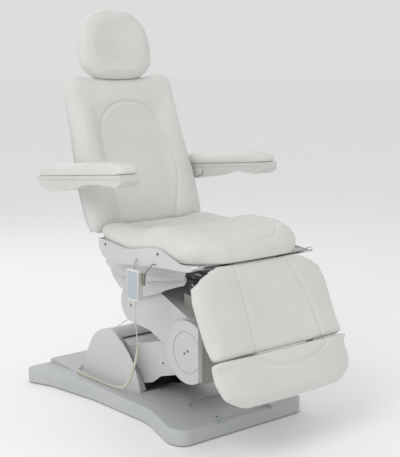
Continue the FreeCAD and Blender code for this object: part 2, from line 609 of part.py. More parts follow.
# Upper arm: steel with the lift lever, cover, hood and link
def make_upper_arm():
    steel = arm_steel("upper_arm", HIGH_KNEE, HEAD, S.arm_pin_radius, S.arm_pin_radius,
                      "high_cover_half - cover_wall", 0.5)
    eye = LIFT_DRIVE_EYE
    lever = rounded(((eye[0] - 20, HIGH_KNEE[1] + 26, 0), (eye[0] + 90, HIGH_KNEE[1] + 30, 0),
                     (eye[0] + 18, eye[1] + 14, 14), (eye[0] - 18, eye[1] + 14, 14)))
    both_sides(pad, steel, lever, "eye_half + eye_gap", "eye_half + eye_gap + sheet_steel")
    bridge = (eye[0] + 40, HIGH_KNEE[1] + 30)
    across(pad, steel, ring(bridge[0], bridge[1], S.arm_pin_radius), "arm_plate_inner + sheet_steel")
    across(pad, steel, ring(eye[0], eye[1], S.drive_pin), "eye_half + eye_gap + sheet_steel")
    seat_at(steel)
    make_link("upper_link", HIGH_LINK_KNEE, HIGH_LINK_HEAD)

    cover = new_body("upper_arm_cover")
    wall = S.cover_wall
    top = HEAD[1] + S.high_cover_head
    nose = HIGH_KNEE[1] + S.high_cover_nose

    def shell_outline(inset, drop):
        return rounded(((HEAD[0], top - inset, 0), (HEAD[0] - 178, top - 1 - inset, 60),
                        (HIGH_KNEE[0], nose + 2 - inset, 0), (HIGH_KNEE[0], HIGH_KNEE[1] - 20 - drop, 0),
                        (HEAD[0] - 245, HEAD[1] - 140 - drop, 0), (HEAD[0] - 110, HEAD[1] - 88 - drop, 0),
                        (HEAD[0], HEAD[1] - 78 - drop, 0)))

    across(pad, cover, shell_outline(0, 0), "high_cover_half")
    across(pad, cover, ring(HEAD[0], HEAD[1], S.high_cover_head), "high_cover_half")
    across(pad, cover, ring(HIGH_KNEE[0], HIGH_KNEE[1], S.high_cover_nose), "high_cover_half")
    across(pocket, cover, shell_outline(wall, S.overrun), "high_cover_half - cover_wall")
    across(pocket, cover, ring(HEAD[0], HEAD[1], S.high_cover_head - wall), "high_cover_half - cover_wall")
    across(pocket, cover, ring(HIGH_KNEE[0], HIGH_KNEE[1], S.high_cover_nose - wall),
           "high_cover_half - cover_wall")
    under_nose = box(HIGH_KNEE[0] - 2 * S.high_cover_nose, HEAD[0], HIGH_KNEE[1] - 2 * S.high_cover_nose,
                     HIGH_KNEE[1] - 20)
    across(pocket, cover, under_nose, "high_cover_half - cover_wall")
    under_head = box(HEAD[0] - 30, HEAD[0] + 2 * S.high_cover_head, HEAD[1] - 2 * S.high_cover_head,
                     HEAD[1] - 40)
    across(pocket, cover, under_head, "high_cover_half - cover_wall")
    head_slot = box(HEAD[0] - S.head_slot_rear, HEAD[0] + S.high_cover_head + 10,
                    HEAD[1] + 2, top + S.overrun)
    across(pocket, cover, head_slot, "knee_plate_inner + sheet_steel + side_gap")
    lever_slot = box(eye[0] - S.lever_slot_rear, eye[0] + S.lever_slot_front,
                     HIGH_KNEE[1] + S.lever_slot_foot, top + S.overrun)
    across(pocket, cover, lever_slot, "eye_half + sheet_steel * 2 + side_gap")
    seat_at(cover)

    hood = new_body("arm_hood")

    def hood_outline(inset):
        return rounded(((eye[0] - S.hood_rear + inset, nose - S.hood_foot, 0),
                        (eye[0] - S.hood_rear + 4 + inset, eye[1] + 22 - inset, 18 - inset),
                        (eye[0] + 26, eye[1] + 30 - inset, 0), (eye[0] + 20, nose - S.hood_foot, 0)))

    across(pad, hood, hood_outline(0), "hood_half")
    across(pocket, hood, hood_outline(wall), "hood_half - cover_wall")
    rear_gap = box(eye[0] + 10, eye[0] + 50, nose, eye[1] + 60)
    across(pocket, hood, rear_gap, "hood_half - cover_wall")
    fall = (top - nose - 3) / (HEAD[0] - 178 - HIGH_KNEE[0])
    below = rounded(((HEAD[0] - 178, top - 1, 0), (HIGH_KNEE[0] - 100, nose + 2 - 100 * fall, 0),
                     (HIGH_KNEE[0] - 100, nose - 200, 0), (HEAD[0] - 178, nose - 200, 0)))
    across(pocket, hood, below, "hood_half + overrun")
    across(pocket, hood, ring(HIGH_KNEE[0], HIGH_KNEE[1], S.high_cover_nose), "hood_half + overrun")
    seat_at(hood)


# Seat head: frame, pins, cover, shells, board and cushion
def make_seat():
    frame = new_body("seat_frame")
    rail_low = S.board_low - S.rail_height
    rail = box(LEG_PIVOT[0] + 30, BACK_PIVOT[0] + 20, rail_low, S.board_low)
    both_sides(pad, frame, rail, "rail_inner", "rail_outer")
    for place, reach in ((LEG_PIVOT[0] + 110, "0"), (HEAD[0] - 140, "rail_inner")):
        bar = box(place - 18, place + 18, rail_low - S.sheet_steel, rail_low)
        both_sides(pad, frame, bar, reach, "bell_half - cover_wall")
    strip = box(HEAD[0] - 110, HEAD[0] + 92, rail_low - S.sheet_steel, rail_low)
    both_sides(pad, frame, strip, "knee_plate_inner", "rail_outer")
    head_plate = rounded(((HEAD[0] - 110, rail_low - 1, 0), (HEAD[0] + 92, rail_low - 1, 0),
                          (HEAD[0] + 40, HEAD[1] - 30, 26), (HEAD[0] - 34, HEAD[1] - 30, 26)))
    both_sides(pad, frame, head_plate, "knee_plate_inner", "knee_plate_inner + sheet_steel")
    back_lug = rounded(((BACK_PIVOT[0] - 32, S.board_low - 1, 0), (BACK_PIVOT[0] + 20, S.board_low - 1, 0),
                        (BACK_PIVOT[0] + 16, BACK_PIVOT[1] + 15, 13),
                        (BACK_PIVOT[0] - 15, BACK_PIVOT[1] + 15, 13)))
    both_sides(pad, frame, back_lug, "rail_inner", "rail_inner + sheet_steel")
    leg_lug = stadium((LEG_PIVOT[0] + 45, LEG_PIVOT[1] - 6), LEG_PIVOT, S.leg_shaft_radius * 1.7)
    both_sides(pad, frame, leg_lug, "rail_inner", "rail_inner + sheet_steel")
    clamp = box(BACK_DRIVE_END[0] + 50, BACK_DRIVE_END[0] + 130, BACK_DRIVE_END[1] + 6, rail_low)
    pad(frame, "YZ_Plane", clamp, "drive_side + motor_radius", "rail_outer - drive_side - motor_radius")
    clamp = box(LEG_DRIVE_END[0] - 170, LEG_DRIVE_END[0] - 90, LEG_DRIVE_END[1] - 7, rail_low)
    pad(frame, "YZ_Plane", clamp, "-rail_outer", "rail_outer - drive_side - motor_radius")
    rear_bar = box(LIFT_DRIVE_TOP[0] + 26, LIFT_DRIVE_TOP[0] + 42, rail_low - S.sheet_steel, rail_low + 8)
    across(pad, frame, rear_bar, "rail_inner")
    drive_lug = rounded(((LIFT_DRIVE_TOP[0] + 30, rail_low - S.sheet_steel, 0),
                         (LIFT_DRIVE_TOP[0] + 42, rail_low - S.sheet_steel, 0),
                         (LIFT_DRIVE_TOP[0] + 42, rail_low + 10, 0),
                         (LIFT_DRIVE_TOP[0] + 12, LIFT_DRIVE_TOP[1] + 14, 12),
                         (LIFT_DRIVE_TOP[0] - 14, LIFT_DRIVE_TOP[1] + 10, 12),
                         (LIFT_DRIVE_TOP[0] - 10, LIFT_DRIVE_TOP[1] - 14, 10)))
    both_sides(pad, frame, drive_lug, "motor_radius + side_gap", "motor_radius + side_gap + sheet_steel")
    for place, radius in ((HEAD, S.arm_pin_radius), (HIGH_LINK_HEAD, S.link_pin_radius),
                          (BACK_PIVOT, S.back_shaft_radius),
                          (LEG_PIVOT, S.leg_shaft_radius), (LIFT_DRIVE_TOP, S.drive_pin)):
        across(pocket, frame, ring(place[0], place[1], radius + S.pin_fit), "rail_outer + overrun")
    seat_at(frame)

    pins = new_body("seat_pins")
    across(pad, pins, ring(HEAD[0], HEAD[1], S.arm_pin_radius), "knee_plate_inner + sheet_steel")
    across(pad, pins, ring(HIGH_LINK_HEAD[0], HIGH_LINK_HEAD[1], S.link_pin_radius),
           "knee_plate_inner + sheet_steel")
    across(pad, pins, ring(BACK_PIVOT[0], BACK_PIVOT[1], S.back_shaft_radius),
           "rail_outer + side_gap * 2 + sheet_steel")
    across(pad, pins, ring(LEG_PIVOT[0], LEG_PIVOT[1], S.leg_shaft_radius),
           "rail_outer + side_gap * 2 + sheet_steel")
    across(pad, pins, ring(LIFT_DRIVE_TOP[0], LIFT_DRIVE_TOP[1], S.drive_pin),
           "motor_radius + side_gap + sheet_steel")
    seat_at(pins)
    make_bell()
    make_shells()

    board = new_body("seat_board")
    plan = box(-S.seat_half + S.cover_wall, S.seat_half - S.cover_wall, -S.seat_front + 57, -16)
    pad(board, "XY_Plane", plan, "board_low", "board_thick")
    seat_at(board)


def bell_profile(x, inset, full, low):
    head = HEAD[1]
    high = S.bell_high + (S.overrun if inset else 0)
    rear = HEAD[0] + 110 - inset
    front = HEAD[0] - 397 - (S.overrun if inset else 0)
    if full:
        floor = [(98, 118), (64, 78), (16, 57), (-60, 56), (-140, 62), (-255, 100), (-385, 148)]
    else:
        floor = [(102, 150), (80, 146), (16, 142), (-60, 142), (-140, 144), (-255, 150), (-385, 164)]
    points = [(rear, high), (rear, head + 158)]
    points += [(HEAD[0] + along - inset * (1 if along > 0 else 0), head + above - low) for along,
               above in floor]
    if inset:
        points[-1] = (front, points[-1][1])
    points += [(front, high)]
    return Part.makePolygon([Vector(x, y, z) for y, z in points + points[:1]])


def make_bell():
    wall = S.cover_wall
    drop = 2 * S.overrun
    outer = solid_loft([bell_profile(-S.bell_half, 0, False, 0), bell_profile(-S.bell_inner, 0, True, 0),
                           bell_profile(S.bell_inner, 0, True, 0), bell_profile(S.bell_half, 0, False, 0)])
    inner = solid_loft([bell_profile(-S.bell_half + wall, wall, False, 0),
                        bell_profile(-S.bell_inner + wall, wall, True, drop),
                           bell_profile(S.bell_inner - wall, wall, True, drop),
                        bell_profile(S.bell_half - wall, wall, False, 0)],
                          )
    shape_piece("underseat_cover", outer.cut(inner))


def shell_outline(inset, high):
    front = -S.seat_front
    low = S.board_low
    return rounded(((HEAD[0] - inset, high, 0), (HEAD[0] - inset, low + 8, 20),
                    (HEAD[0] - 30 - inset, low - 26 + inset, 30),
                    (HEAD[0] - 90, low - 42 + inset, 40), (front + 215, low - 16 + inset, 200),
                    (front + 57, low - 9 + inset, 60), (front + 14 + inset, low + 9 + inset, 0),
                    (front + 14 + inset, high, 0)))


def make_shells():
    piece = new_body("seat_shells")
    high = S.board_low + 52
    both_sides(pad, piece, shell_outline(0, high), "bell_inner", "seat_half")
    hollow = shell_outline(S.cover_wall, high + S.overrun)
    both_sides(pocket, piece, hollow, "bell_inner - overrun", "seat_half - cover_wall")
    low = S.board_low
    front = -S.seat_front
    crest = ((HEAD[0] + S.overrun, low + 44, 0), (HEAD[0] - 50, low + 40, 120),
             (HEAD[0] - 190, low + 24, 160),
             (front + 232, low + 58, 110), (front + 102, low + 14, 130), (front - S.overrun, low + 6, 0),
             (front - S.overrun, high + S.overrun, 0), (HEAD[0] + S.overrun, high + S.overrun, 0))
    both_sides(pocket, piece, rounded(crest), "bell_inner - overrun", "seat_half + overrun")
    nose = box(front - S.overrun, front + 58, low - 100, high + S.overrun)
    both_sides(pocket, piece, nose, "bell_inner - overrun", "leg_lip_half + leg_start")
    seat_at(piece)


# Soft pads: lofts of closed sections along Y of their own frame, crowned on top and drawn in at the foot
END_SHARES = ((0.0, 0.0), (0.18, 0.5), (0.5, 0.86), (1.0, 1.0))
INNER_STEPS = 5
HEAD_SHARES = ((0.0, 0.5), (0.05, 0.76), (0.13, 0.93), (0.27, 1.0), (0.5, 0.99), (0.7, 0.93), (0.82, 0.82),
               (0.92, 0.64), (1.0, 0.4))
SEAT_SHARES = ((0.0, 0.78), (0.03, 0.87), (0.08, 0.95), (0.16, 1.0), (0.8, 1.0), (1.0, 0.96))
BACK_SHARES = ((0.0, 0.965), (0.12, 0.995), (0.3, 1.0), (0.45, 0.94), (0.6, 0.912), (0.85, 0.92),
               (0.95, 0.9), (1.0, 0.86))


def pad_section(along, half, low, high, side_round, crown, middle_x):
    foot = half - side_round * 0.25
    shoulder = half - side_round * 0.6
    edge = high - crown
    middle = (low + edge) / 2
    a = Vector(middle_x - foot, along, low)
    b = Vector(middle_x + foot, along, low)
    c = Vector(middle_x + shoulder, along, edge)
    d = Vector(middle_x - shoulder, along, edge)
    edges = [Part.LineSegment(a, b), Part.Arc(b, Vector(middle_x + half, along, middle), c),
             Part.Arc(c, Vector(middle_x, along, high), d),
             Part.Arc(d, Vector(middle_x - half, along, middle), a)]
    return Part.Wire([edge_item.toShape() for edge_item in edges])


def soft_pad(start, finish, halves, low, high, end_round, side_round, crown, middle_x=0, widest=1,
             start_round=None):
    places = []
    start_round = start_round or end_round
    for share, full in END_SHARES:
        places.append((start + share * start_round, full))
    for step in range(1, INNER_STEPS):
        share = step / INNER_STEPS
        places.append((start + start_round + (finish - end_round - start - start_round) * share, 1.0))
    for share, full in reversed(END_SHARES):
        places.append((finish - share * end_round, full))
    wires = []
    for along, full in places:
        share = (along - start) / (finish - start)
        half = widest * width_at(halves, share) - side_round * (1 - full)
        top = high - end_round * 0.9 * (1 - full)
        wires.append(pad_section(along, half, low, top, side_round, crown * (0.3 + 0.7 * full), middle_x))
    return solid_loft(wires)


def width_at(halves, share):
    for (left_share, left), (right_share, right) in zip(halves, halves[1:]):
        if share <= right_share:
            return left + (right - left) * (share - left_share) / (right_share - left_share)
    return halves[-1][1]


def make_soft_seat():
    half = S.seat_half - S.cover_wall - 2
    shape = soft_pad(-S.seat_front, HEAD[0] - 5, SEAT_SHARES, S.board_low + S.board_thick + 12,
                     S.seat_high, 34, 22, 14, 0, half, 66)
    base_part = Part.makeBox(2 * half - 60, S.seat_front - 110, 12,
                             Vector(-half + 30, -S.seat_front + 90, S.board_low + S.board_thick))
    lip_points = [(HEAD[0] - 36, S.seat_high - 44), (HEAD[0] + 26, S.seat_high - 36),
                  (HEAD[0] + 34, S.seat_high - 16),
                  (HEAD[0] + 18, S.seat_high - 4), (HEAD[0] - 36, S.seat_high - 4)]
    face = Part.Face(Part.makePolygon([Vector(-half + 24, y, z) for y, z in lip_points + lip_points[:1]]))
    lip = face.extrude(Vector(2 * half - 48, 0, 0))
    shape_piece("seat_cushion", shape.fuse([base_part, lip]).removeSplitter())


# Back: built lying flat, Y up along the back and Z out of its face
def make_back():
    place = ("back_pivot_along", "back_pivot_high", "90 - back_lean")
    start = S.back_start
    end = S.back_long
    cushion = soft_pad(S.back_low, end, BACK_SHARES, -S.back_board_deep, S.back_face, 36, 20, 10, 0,
                       S.back_half_low)
    scoop = (S.back_scoop_half ** 2 + S.back_scoop ** 2) / (2 * S.back_scoop)
    cushion = cushion.cut(Part.makeCylinder(scoop, 200, Vector(0, end - S.back_scoop + scoop, -100)))
    shaft_half = S.rail_outer + S.side_gap * 2 + S.sheet_steel + S.loose_fit
    cushion = cushion.cut(Part.makeBox(2 * shaft_half, start, 200, Vector(-shaft_half, 0, -100)))
    shape_piece("back_cushion", cushion, *place)

    board = new_body("back_board")
    low_half = S.back_half_low - 30
    high_half = S.back_half_high - 22
    plan = rounded(((-low_half, start + 8, 20), (low_half, start + 8, 20),
                    (high_half, end - S.cover_drop - 22, 24), (-high_half, end - S.cover_drop - 22, 24)))
    pad(board, "XY_Plane", plan, "-back_board_deep - board_thick", "board_thick")
    seat_at(board, *place)

    frame = new_body("back_frame")
    upright_low = S.back_board_deep + S.board_thick
    across_plan = "-back_board_deep - board_thick - 14"
    inner = S.rail_outer
    outer = S.rail_outer + S.upright_width
    for sign in (-1, 1):
        low_x, high_x = sorted((sign * inner, sign * outer))
        pad(frame, "XY_Plane", box(low_x, high_x, start - 20, end - S.cover_drop - 20), across_plan, "14")
    for along in (start + 4, end * 0.48, end - S.cover_drop - 120):
        pad(frame, "XY_Plane", box(-inner - 2, inner + 2, along, along + 26),
            "-back_board_deep - board_thick - 9", "9")
    tongue = rounded(((-14, 0, 13), (12, 14, 10), (start, -upright_low + 2, 0),
                      (start + 30, -upright_low - 14, 0),
                      (start - 22, -upright_low - 14, 0), (-14, -upright_low + 14, 0)))
    both_sides(pad, frame, tongue, "rail_outer + side_gap", "rail_outer + side_gap + sheet_steel")
    lean = math.radians(S.back_lean)
    dy = BACK_DRIVE_EYE[0] - BACK_PIVOT[0]
    dz = BACK_DRIVE_EYE[1] - BACK_PIVOT[1]
    eye = (dy * math.sin(lean) + dz * math.cos(lean), -(dy * math.cos(lean) - dz * math.sin(lean)))
    lever = rounded(((start + 28, -upright_low - 1, 0), (start + 4, -upright_low - 1, 0),
                     (eye[0] - 14, eye[1] + 14, 12),
                     (eye[0] - 14, eye[1] - 14, 12), (start + 28, -upright_low - 13, 0)))
    gap = "eye_half + eye_gap"
    pad(frame, "YZ_Plane", lever, "drive_side + " + gap, "sheet_steel")
    pad(frame, "YZ_Plane", lever, "drive_side - (" + gap + ") - sheet_steel", "sheet_steel")
    pad(frame, "YZ_Plane", ring(eye[0], eye[1], S.drive_pin), "drive_side - (" + gap + ") - sheet_steel",
        "2 * (" + gap + " + sheet_steel)")
    across(pocket, frame, ring(0, 0, S.back_shaft_radius + S.pin_fit), "rail_outer + overrun")
    seat_at(frame, *place)
    make_back_cover(place)

    socket = new_body("headrest_socket")
    socket_low = end - S.cover_drop - 90
    edges = box(-S.post_half - S.cover_wall * 3, S.post_half + S.cover_wall * 3, socket_low,
                end - S.cover_drop + 2)
    post_rear = "back_board_deep + board_thick + cover_wall * 3 + post_thick + loose_fit * 2"
    pad(socket, "XY_Plane", edges, "-(" + post_rear + " + cover_wall * 3)",
        post_rear + " + cover_wall * 3 - back_board_deep - board_thick")
    hole = box(-S.post_half - S.loose_fit, S.post_half + S.loose_fit, socket_low - S.overrun,
               end + S.overrun)
    pocket(socket, "XY_Plane", hole, "-(" + post_rear + ")", "post_thick + loose_fit * 2")
    seat_at(socket, *place)


def arm_hinge():
    lean = math.radians(S.back_lean)
    dy = S.arm_fold_along - S.back_pivot_along
    dz = S.arm_fold_high - S.back_pivot_high
    return (dy * math.sin(lean) + dz * math.cos(lean), -(dy * math.cos(lean) - dz * math.sin(lean)))


def cover_section(along, half, edge_low, deep, inset):
    top = -S.back_board_deep - (0 if inset == 0 else -S.overrun)
    half -= inset
    a = Vector(-half, along, top)
    b = Vector(half, along, top)
    c = Vector(half, along, -edge_low + inset)
    d = Vector(half * 0.72, along, -deep + inset)
    e = Vector(-half * 0.72, along, -deep + inset)
    f = Vector(-half, along, -edge_low + inset)
    return Part.makePolygon([a, b, c, d, e, f, a])


def make_back_cover(place):
    start = S.back_low + 4
    end = S.back_long - S.cover_drop
    rows = ((0.0, 8, 0.2), (0.1, 0, 0.9), (0.3, 0, 1.0), (0.9, 0, 1.0), (0.97, 6, 0.8), (1.0, 14, 0.3))

    def skin(inset):
        wires = []
        for share, draw, bulge in rows:
            along = start + share * (end - start)
            along += inset if share == 0.0 else (-inset if share == 1.0 else 0)
            deep = S.back_edge_deep + (S.back_cover_deep - S.back_edge_deep) * bulge
            wires.append(cover_section(along, S.back_half_low * width_at(BACK_SHARES,
                    along / S.back_long) - 6 - draw, S.back_edge_deep, deep, inset))
        return solid_loft(wires)

    low_opening = Part.makeBox(2 * S.rail_outer + 60, 84, S.back_cover_deep,
                               Vector(-S.rail_outer - 30, start - 20, -S.back_cover_deep))
    post_opening = Part.makeBox(2 * S.post_half + 20, 40, 30,
                                Vector(-S.post_half - 10, end - 20, -S.back_board_deep - 36))
    inner = skin(S.cover_wall)
    arm_along = arm_hinge()[0]
    arm_opening = Part.makeBox(4 * S.back_half_low, 40, 12,
                               Vector(-2 * S.back_half_low, arm_along - 18, -S.back_edge_deep + 4))
    cut_board = Part.makeBox(4 * S.back_half_low, 2 * S.back_long, S.board_thick,
                             Vector(-2 * S.back_half_low, 0, -S.back_board_deep))
    shape_piece("back_cover",
                skin(0).cut(inner).cut(arm_opening).cut(low_opening).cut(post_opening).cut(cut_board),
                *place)


# Headrest: post in its socket, bracket and cushion
def make_headrest():
    place = ("back_pivot_along", "back_pivot_high", "90 - back_lean")
    post_rear = S.back_board_deep + S.board_thick + S.cover_wall * 3 + S.post_thick + S.loose_fit
    end = S.head_start + S.head_tall * 0.42
    post = new_body("headrest_post")
    low = S.back_long - S.post_below
    plan = rounded(((-S.post_half, low, 6), (S.post_half, low, 6),
                    (S.post_half, end, 10), (-S.post_half, end, 10)))
    rear = "back_board_deep + board_thick + cover_wall * 3 + post_thick + loose_fit"
    pad(post, "XY_Plane", plan, "-(" + rear + ")", "post_thick")
    axis = (end - 6, -post_rear + S.post_thick + S.arm_pin - 2)
    knuckle = ring(axis[0], axis[1], S.arm_pin)
    across(pad, post, knuckle, "post_half * 0.6")
    across(pad, post, ring(axis[0], axis[1], S.arm_pin * 0.4), "post_half")
    seat_at(post, *place)

    bracket = new_body("headrest_bracket")
    front = axis[1] + S.arm_pin + 4
    side = rounded(((axis[0] - 30, front + 6, 0), (axis[0] - 30, front, 0),
                    (axis[0] - 5.8, axis[1] - 5.8, 4),
                    (axis[0] + 5.8, axis[1] - 5.8, 4), (axis[0] + 30, front, 0),
                    (axis[0] + 30, front + 6, 0)))
    both_sides(pad, bracket, side, "post_half * 0.62", "post_half - pin_fit")
    pad(bracket, "XY_Plane", box(-S.head_half * 0.6, S.head_half * 0.6, axis[0] - 60, axis[0] + 70),
        "%.4f * head_thick" % ((front) / S.head_thick), "6")
    across(pocket, bracket, ring(axis[0], axis[1], S.arm_pin * 0.4 + S.pin_fit), "post_half + overrun")
    seat_at(bracket, *place)

    shape = soft_pad(-S.head_tall / 2 - S.head_drop, S.head_tall / 2, HEAD_SHARES, 0, S.head_thick, 30, 18,
                     12, 0, S.head_half)
    shape.rotate(Vector(), X_AXIS, S.head_tilt)
    middle = S.head_start + S.head_tall / 2
    shape.translate(Vector(0, middle, front + 6))
    deep = 2 * S.head_half
    reach = Part.makeBox(2 * deep, 4 * S.head_tall, deep, Vector(-deep, 0, front + 6 - deep))
    shape = shape.cut(reach)
    shape_piece("headrest_cushion", shape, *place)


# Armrests: flat frame at the hinge, Y to the rear along the arm and Z up
def make_armrests():
    for name, sign in (("left", 1), ("right", -1)):
        place = ("arm_fold_along", "arm_fold_high", "-arm_slope")
        x = sign * S.arm_side
        front = -S.arm_front - S.arm_fold_along
        rear = S.arm_rear - S.arm_fold_along
        cushion = soft_pad(front, rear, ((0, S.arm_half - 8), (0.1, S.arm_half), (0.9, S.arm_half),
                                         (1, S.arm_half - 8)),
                           S.arm_pad_low, S.arm_pad_high, 24, 15, 6, x)
        shape_piece("armrest_pad_" + name, cushion, *place)
        tray = new_body("armrest_tray_" + name)
        top = S.arm_pad_low
        outline = rounded(((front + 5, top, 0), (front + 7, -2, 16), (front + 36, -16, 24),
                           (front + 143, -4, 60), (front + 235, -5, 60),
                           (-60, -22, 40), (10, -29, 30), (rear - 84, -30, 24), (rear - 44, -14, 20),
                           (rear - 10, 8, 20),
                           (rear - 4, top, 0)))
        pad(tray, "YZ_Plane", outline, "%d * arm_side - arm_half + 2" % sign, "2 * arm_half - 4")
        line = box(front - S.overrun, rear + S.overrun, S.arm_line, S.arm_line + S.arm_groove)
        for edge in (-1, 1):
            reach = "arm_half - 2 - arm_groove"
            groove_start = "%d * arm_side + " % sign + (reach if edge > 0 else "(-arm_half - overrun)")
            pocket(tray, "YZ_Plane", line, groove_start, "overrun + 2 + arm_groove")
        bore = "%d * arm_side - arm_half - overrun" % sign
        pocket(tray, "YZ_Plane", ring(0, 0, S.arm_pin + S.pin_fit), bore, "2 * arm_half + 2 * overrun")
        seat_at(tray, *place)


def make_arm_brackets():
    hinge = arm_hinge()
    deep = S.back_edge_deep
    for name, sign in (("left", 1), ("right", -1)):
        piece = new_body("armrest_bracket_" + name)
        plate = rounded(((hinge[0] - 15, hinge[1] + 15, 14), (hinge[0] - 15, -deep + 6, 6),
                         (hinge[0] + 20, -deep + 6, 6),
                         (hinge[0] + 15, hinge[1] + 15, 14)))
        wide = "arm_side - arm_half - seat_half - side_gap * 0.5"
        start = "seat_half + side_gap * 0.25"
        low_start = start if sign > 0 else "-(%s) - (%s)" % (start, wide)
        pad(piece, "YZ_Plane", plate, low_start, wide)
        pin_start = start if sign > 0 else "-(arm_side + arm_half)"
        pad(piece, "YZ_Plane", ring(hinge[0], hinge[1], S.arm_pin), pin_start,
            "arm_side + arm_half - (%s)" % start)
        bar = box(hinge[0] - 12, hinge[0] + 16, -deep + 6 - 0.5, -deep + 6 + 7)
        inner = "rail_outer + upright_width"
        bar_start = inner if sign > 0 else "-(seat_half + side_gap)"
        pad(piece, "YZ_Plane", bar, bar_start, "seat_half + side_gap - (%s)" % inner)
        seat_at(piece, "back_pivot_along", "back_pivot_high", "90 - back_lean")


# Legrest and foot section: Y up the leg and Z out of its face
def make_legrest():
    place = ("-leg_pivot_along", "leg_pivot_high", "leg_slope")
    cushion = soft_pad(-S.leg_end, -S.leg_start, ((0, S.leg_half - 14), (0.25, S.leg_half - 2),
                                                  (0.7, S.leg_half), (1, S.leg_half - 22)),
                       -S.leg_back, S.leg_face, 22, 18, 8)
    reach = S.leg_start + S.leg_lip
    lip_half = S.leg_lip_half
    lip = Part.Face(Part.makePolygon([Vector(-lip_half - reach, -S.leg_start - 10, S.leg_lip_low),
                                      Vector(lip_half + reach, -S.leg_start - 10, S.leg_lip_low),
                                      Vector(lip_half, S.leg_lip, S.leg_lip_low),
                                      Vector(-lip_half, S.leg_lip, S.leg_lip_low),
                                      Vector(-lip_half - reach, -S.leg_start - 10, S.leg_lip_low)]))
    lip = lip.extrude(Vector(0, 0, S.leg_face - 4 - S.leg_lip_low))
    shape_piece("leg_cushion", cushion.fuse(lip).removeSplitter(), *place)

    board = new_body("leg_board")
    pad(board, "XY_Plane", rounded(((-S.leg_half + 22, -S.leg_end + 12, 12),
                                    (S.leg_half - 22, -S.leg_end + 12, 12),
                                    (S.leg_half - 22, -S.leg_start - 8, 12),
                                    (-S.leg_half + 22, -S.leg_start - 8, 12))),
        "-leg_back - board_thick", "board_thick")
    notch = box(-S.drive_side - 16, -S.drive_side + 16, -S.leg_start - 84, -S.leg_start)
    pocket(board, "XY_Plane", notch, "-leg_back - board_thick - overrun", "board_thick + overrun * 1.5")
    seat_at(board, *place)

    frame = new_body("leg_frame")
    top = S.leg_back + S.board_thick
    for sign in (-1, 1):
        middle = sign * S.slide_side
        tube = box(middle - S.slide_width / 2, middle + S.slide_width / 2, -S.leg_end + 6,
                   -S.leg_start - 40)
        pad(frame, "XY_Plane", tube, "-leg_back - board_thick - slide_height", "slide_height")
    for along in (-S.leg_end + 40, -S.leg_start - 70):
        pad(frame, "XY_Plane", box(-S.slide_side, S.slide_side, along, along + 24),
            "-leg_back - board_thick - 10", "10")
    for sign in (-1, 1):
        middle = sign * S.slide_side
        hole = box(middle - S.slide_width / 2 + S.slide_wall, middle + S.slide_width / 2 - S.slide_wall,
                   -S.leg_end - S.overrun, -S.leg_start)
        pocket(frame, "XY_Plane", hole, "-leg_back - board_thick - slide_height + slide_wall",
               "slide_height - 2 * slide_wall")
    plate = rounded(((10, 10, 9), (-11, 10, 9), (-24, -16, 4), (-24, -top, 0), (-S.leg_start - 72, -top, 0),
                     (-S.leg_start - 72, -top - 12, 0), (-6, -top - 12, 10), (11, -14, 8)))
    both_sides(pad, frame, plate, "rail_outer + side_gap", "rail_outer + side_gap + sheet_steel")
    slope = math.radians(S.leg_slope)
    dy = LEG_DRIVE_EYE[0] - LEG_PIVOT[0]
    dz = LEG_DRIVE_EYE[1] - LEG_PIVOT[1]
    eye = (dy * math.cos(slope) + dz * math.sin(slope), -dy * math.sin(slope) + dz * math.cos(slope))
    lever = rounded(((-S.leg_start - 46, -top - 1, 0), (eye[0] + 14, eye[1] + 12, 12),
                     (eye[0] + 12, eye[1] - 14, 12),
                     (eye[0] - 14, eye[1] - 12, 12), (-S.leg_start - 70, -top - 1, 0)))
    gap = "eye_half + eye_gap"
    pad(frame, "YZ_Plane", lever, "-drive_side + " + gap, "sheet_steel")
    pad(frame, "YZ_Plane", lever, "-drive_side - (" + gap + ") - sheet_steel", "sheet_steel")
    pad(frame, "YZ_Plane", ring(eye[0], eye[1], S.drive_pin), "-drive_side - (" + gap + ") - sheet_steel",
        "2 * (" + gap + " + sheet_steel)")
    across(pocket, frame, ring(0, 0, S.leg_shaft_radius + S.pin_fit), "rail_outer + overrun")
    seat_at(frame, *place)

    flap = new_body("front_flap")
    radius = S.leg_lip_low - S.loose_fit * 0.4
    across(pad, flap, ring(0, 0, radius), "rail_inner - side_gap")
    across(pocket, flap, ring(0, 0, radius - S.cover_wall), "rail_inner")
    away = rounded(((-60, -60, 0), (60, -60, 0), (60, 2, 0), (-60, 2, 0)))
    across(pocket, flap, away, "rail_inner")
    seat_at(flap, *place)

    foot = new_body("foot_frame")
    gap_text = "slide_wall + loose_fit"
    foot_low = -S.leg_end - S.foot_gap - S.foot_long
    for sign in (-1, 1):
        middle = sign * S.slide_side
        inside = S.slide_width / 2 - S.slide_wall - S.loose_fit
        pad(foot, "XY_Plane", box(middle - inside, middle + inside, foot_low + 30, -S.leg_start - 90),
            "-leg_back - board_thick - slide_height + " + gap_text, "slide_height - 2 * (" + gap_text + ")")
    plan = rounded(((-S.leg_half + 24, -S.leg_end - S.foot_gap - 8, 10),
                    (-S.leg_half + 24, foot_low + 12, 76),
                    (S.leg_half - 24, foot_low + 12, 76),
                    (S.leg_half - 24, -S.leg_end - S.foot_gap - 8, 10)))
    pad(foot, "XY_Plane", plan, "-leg_back - board_thick - slide_wall - loose_fit - 1",
        "board_thick + slide_wall + loose_fit + 1")
    seat_at(foot, *place)
    corner = ((0, S.leg_half - 74), (0.12, S.leg_half - 34), (0.26, S.leg_half - 12), (0.45, S.leg_half),
              (1, S.leg_half))
    pad_shape = soft_pad(foot_low, -S.leg_end - S.foot_gap, corner, -S.leg_back, S.foot_face, 22, 18, 8)
    shape_piece("foot_cushion", pad_shape, *place)


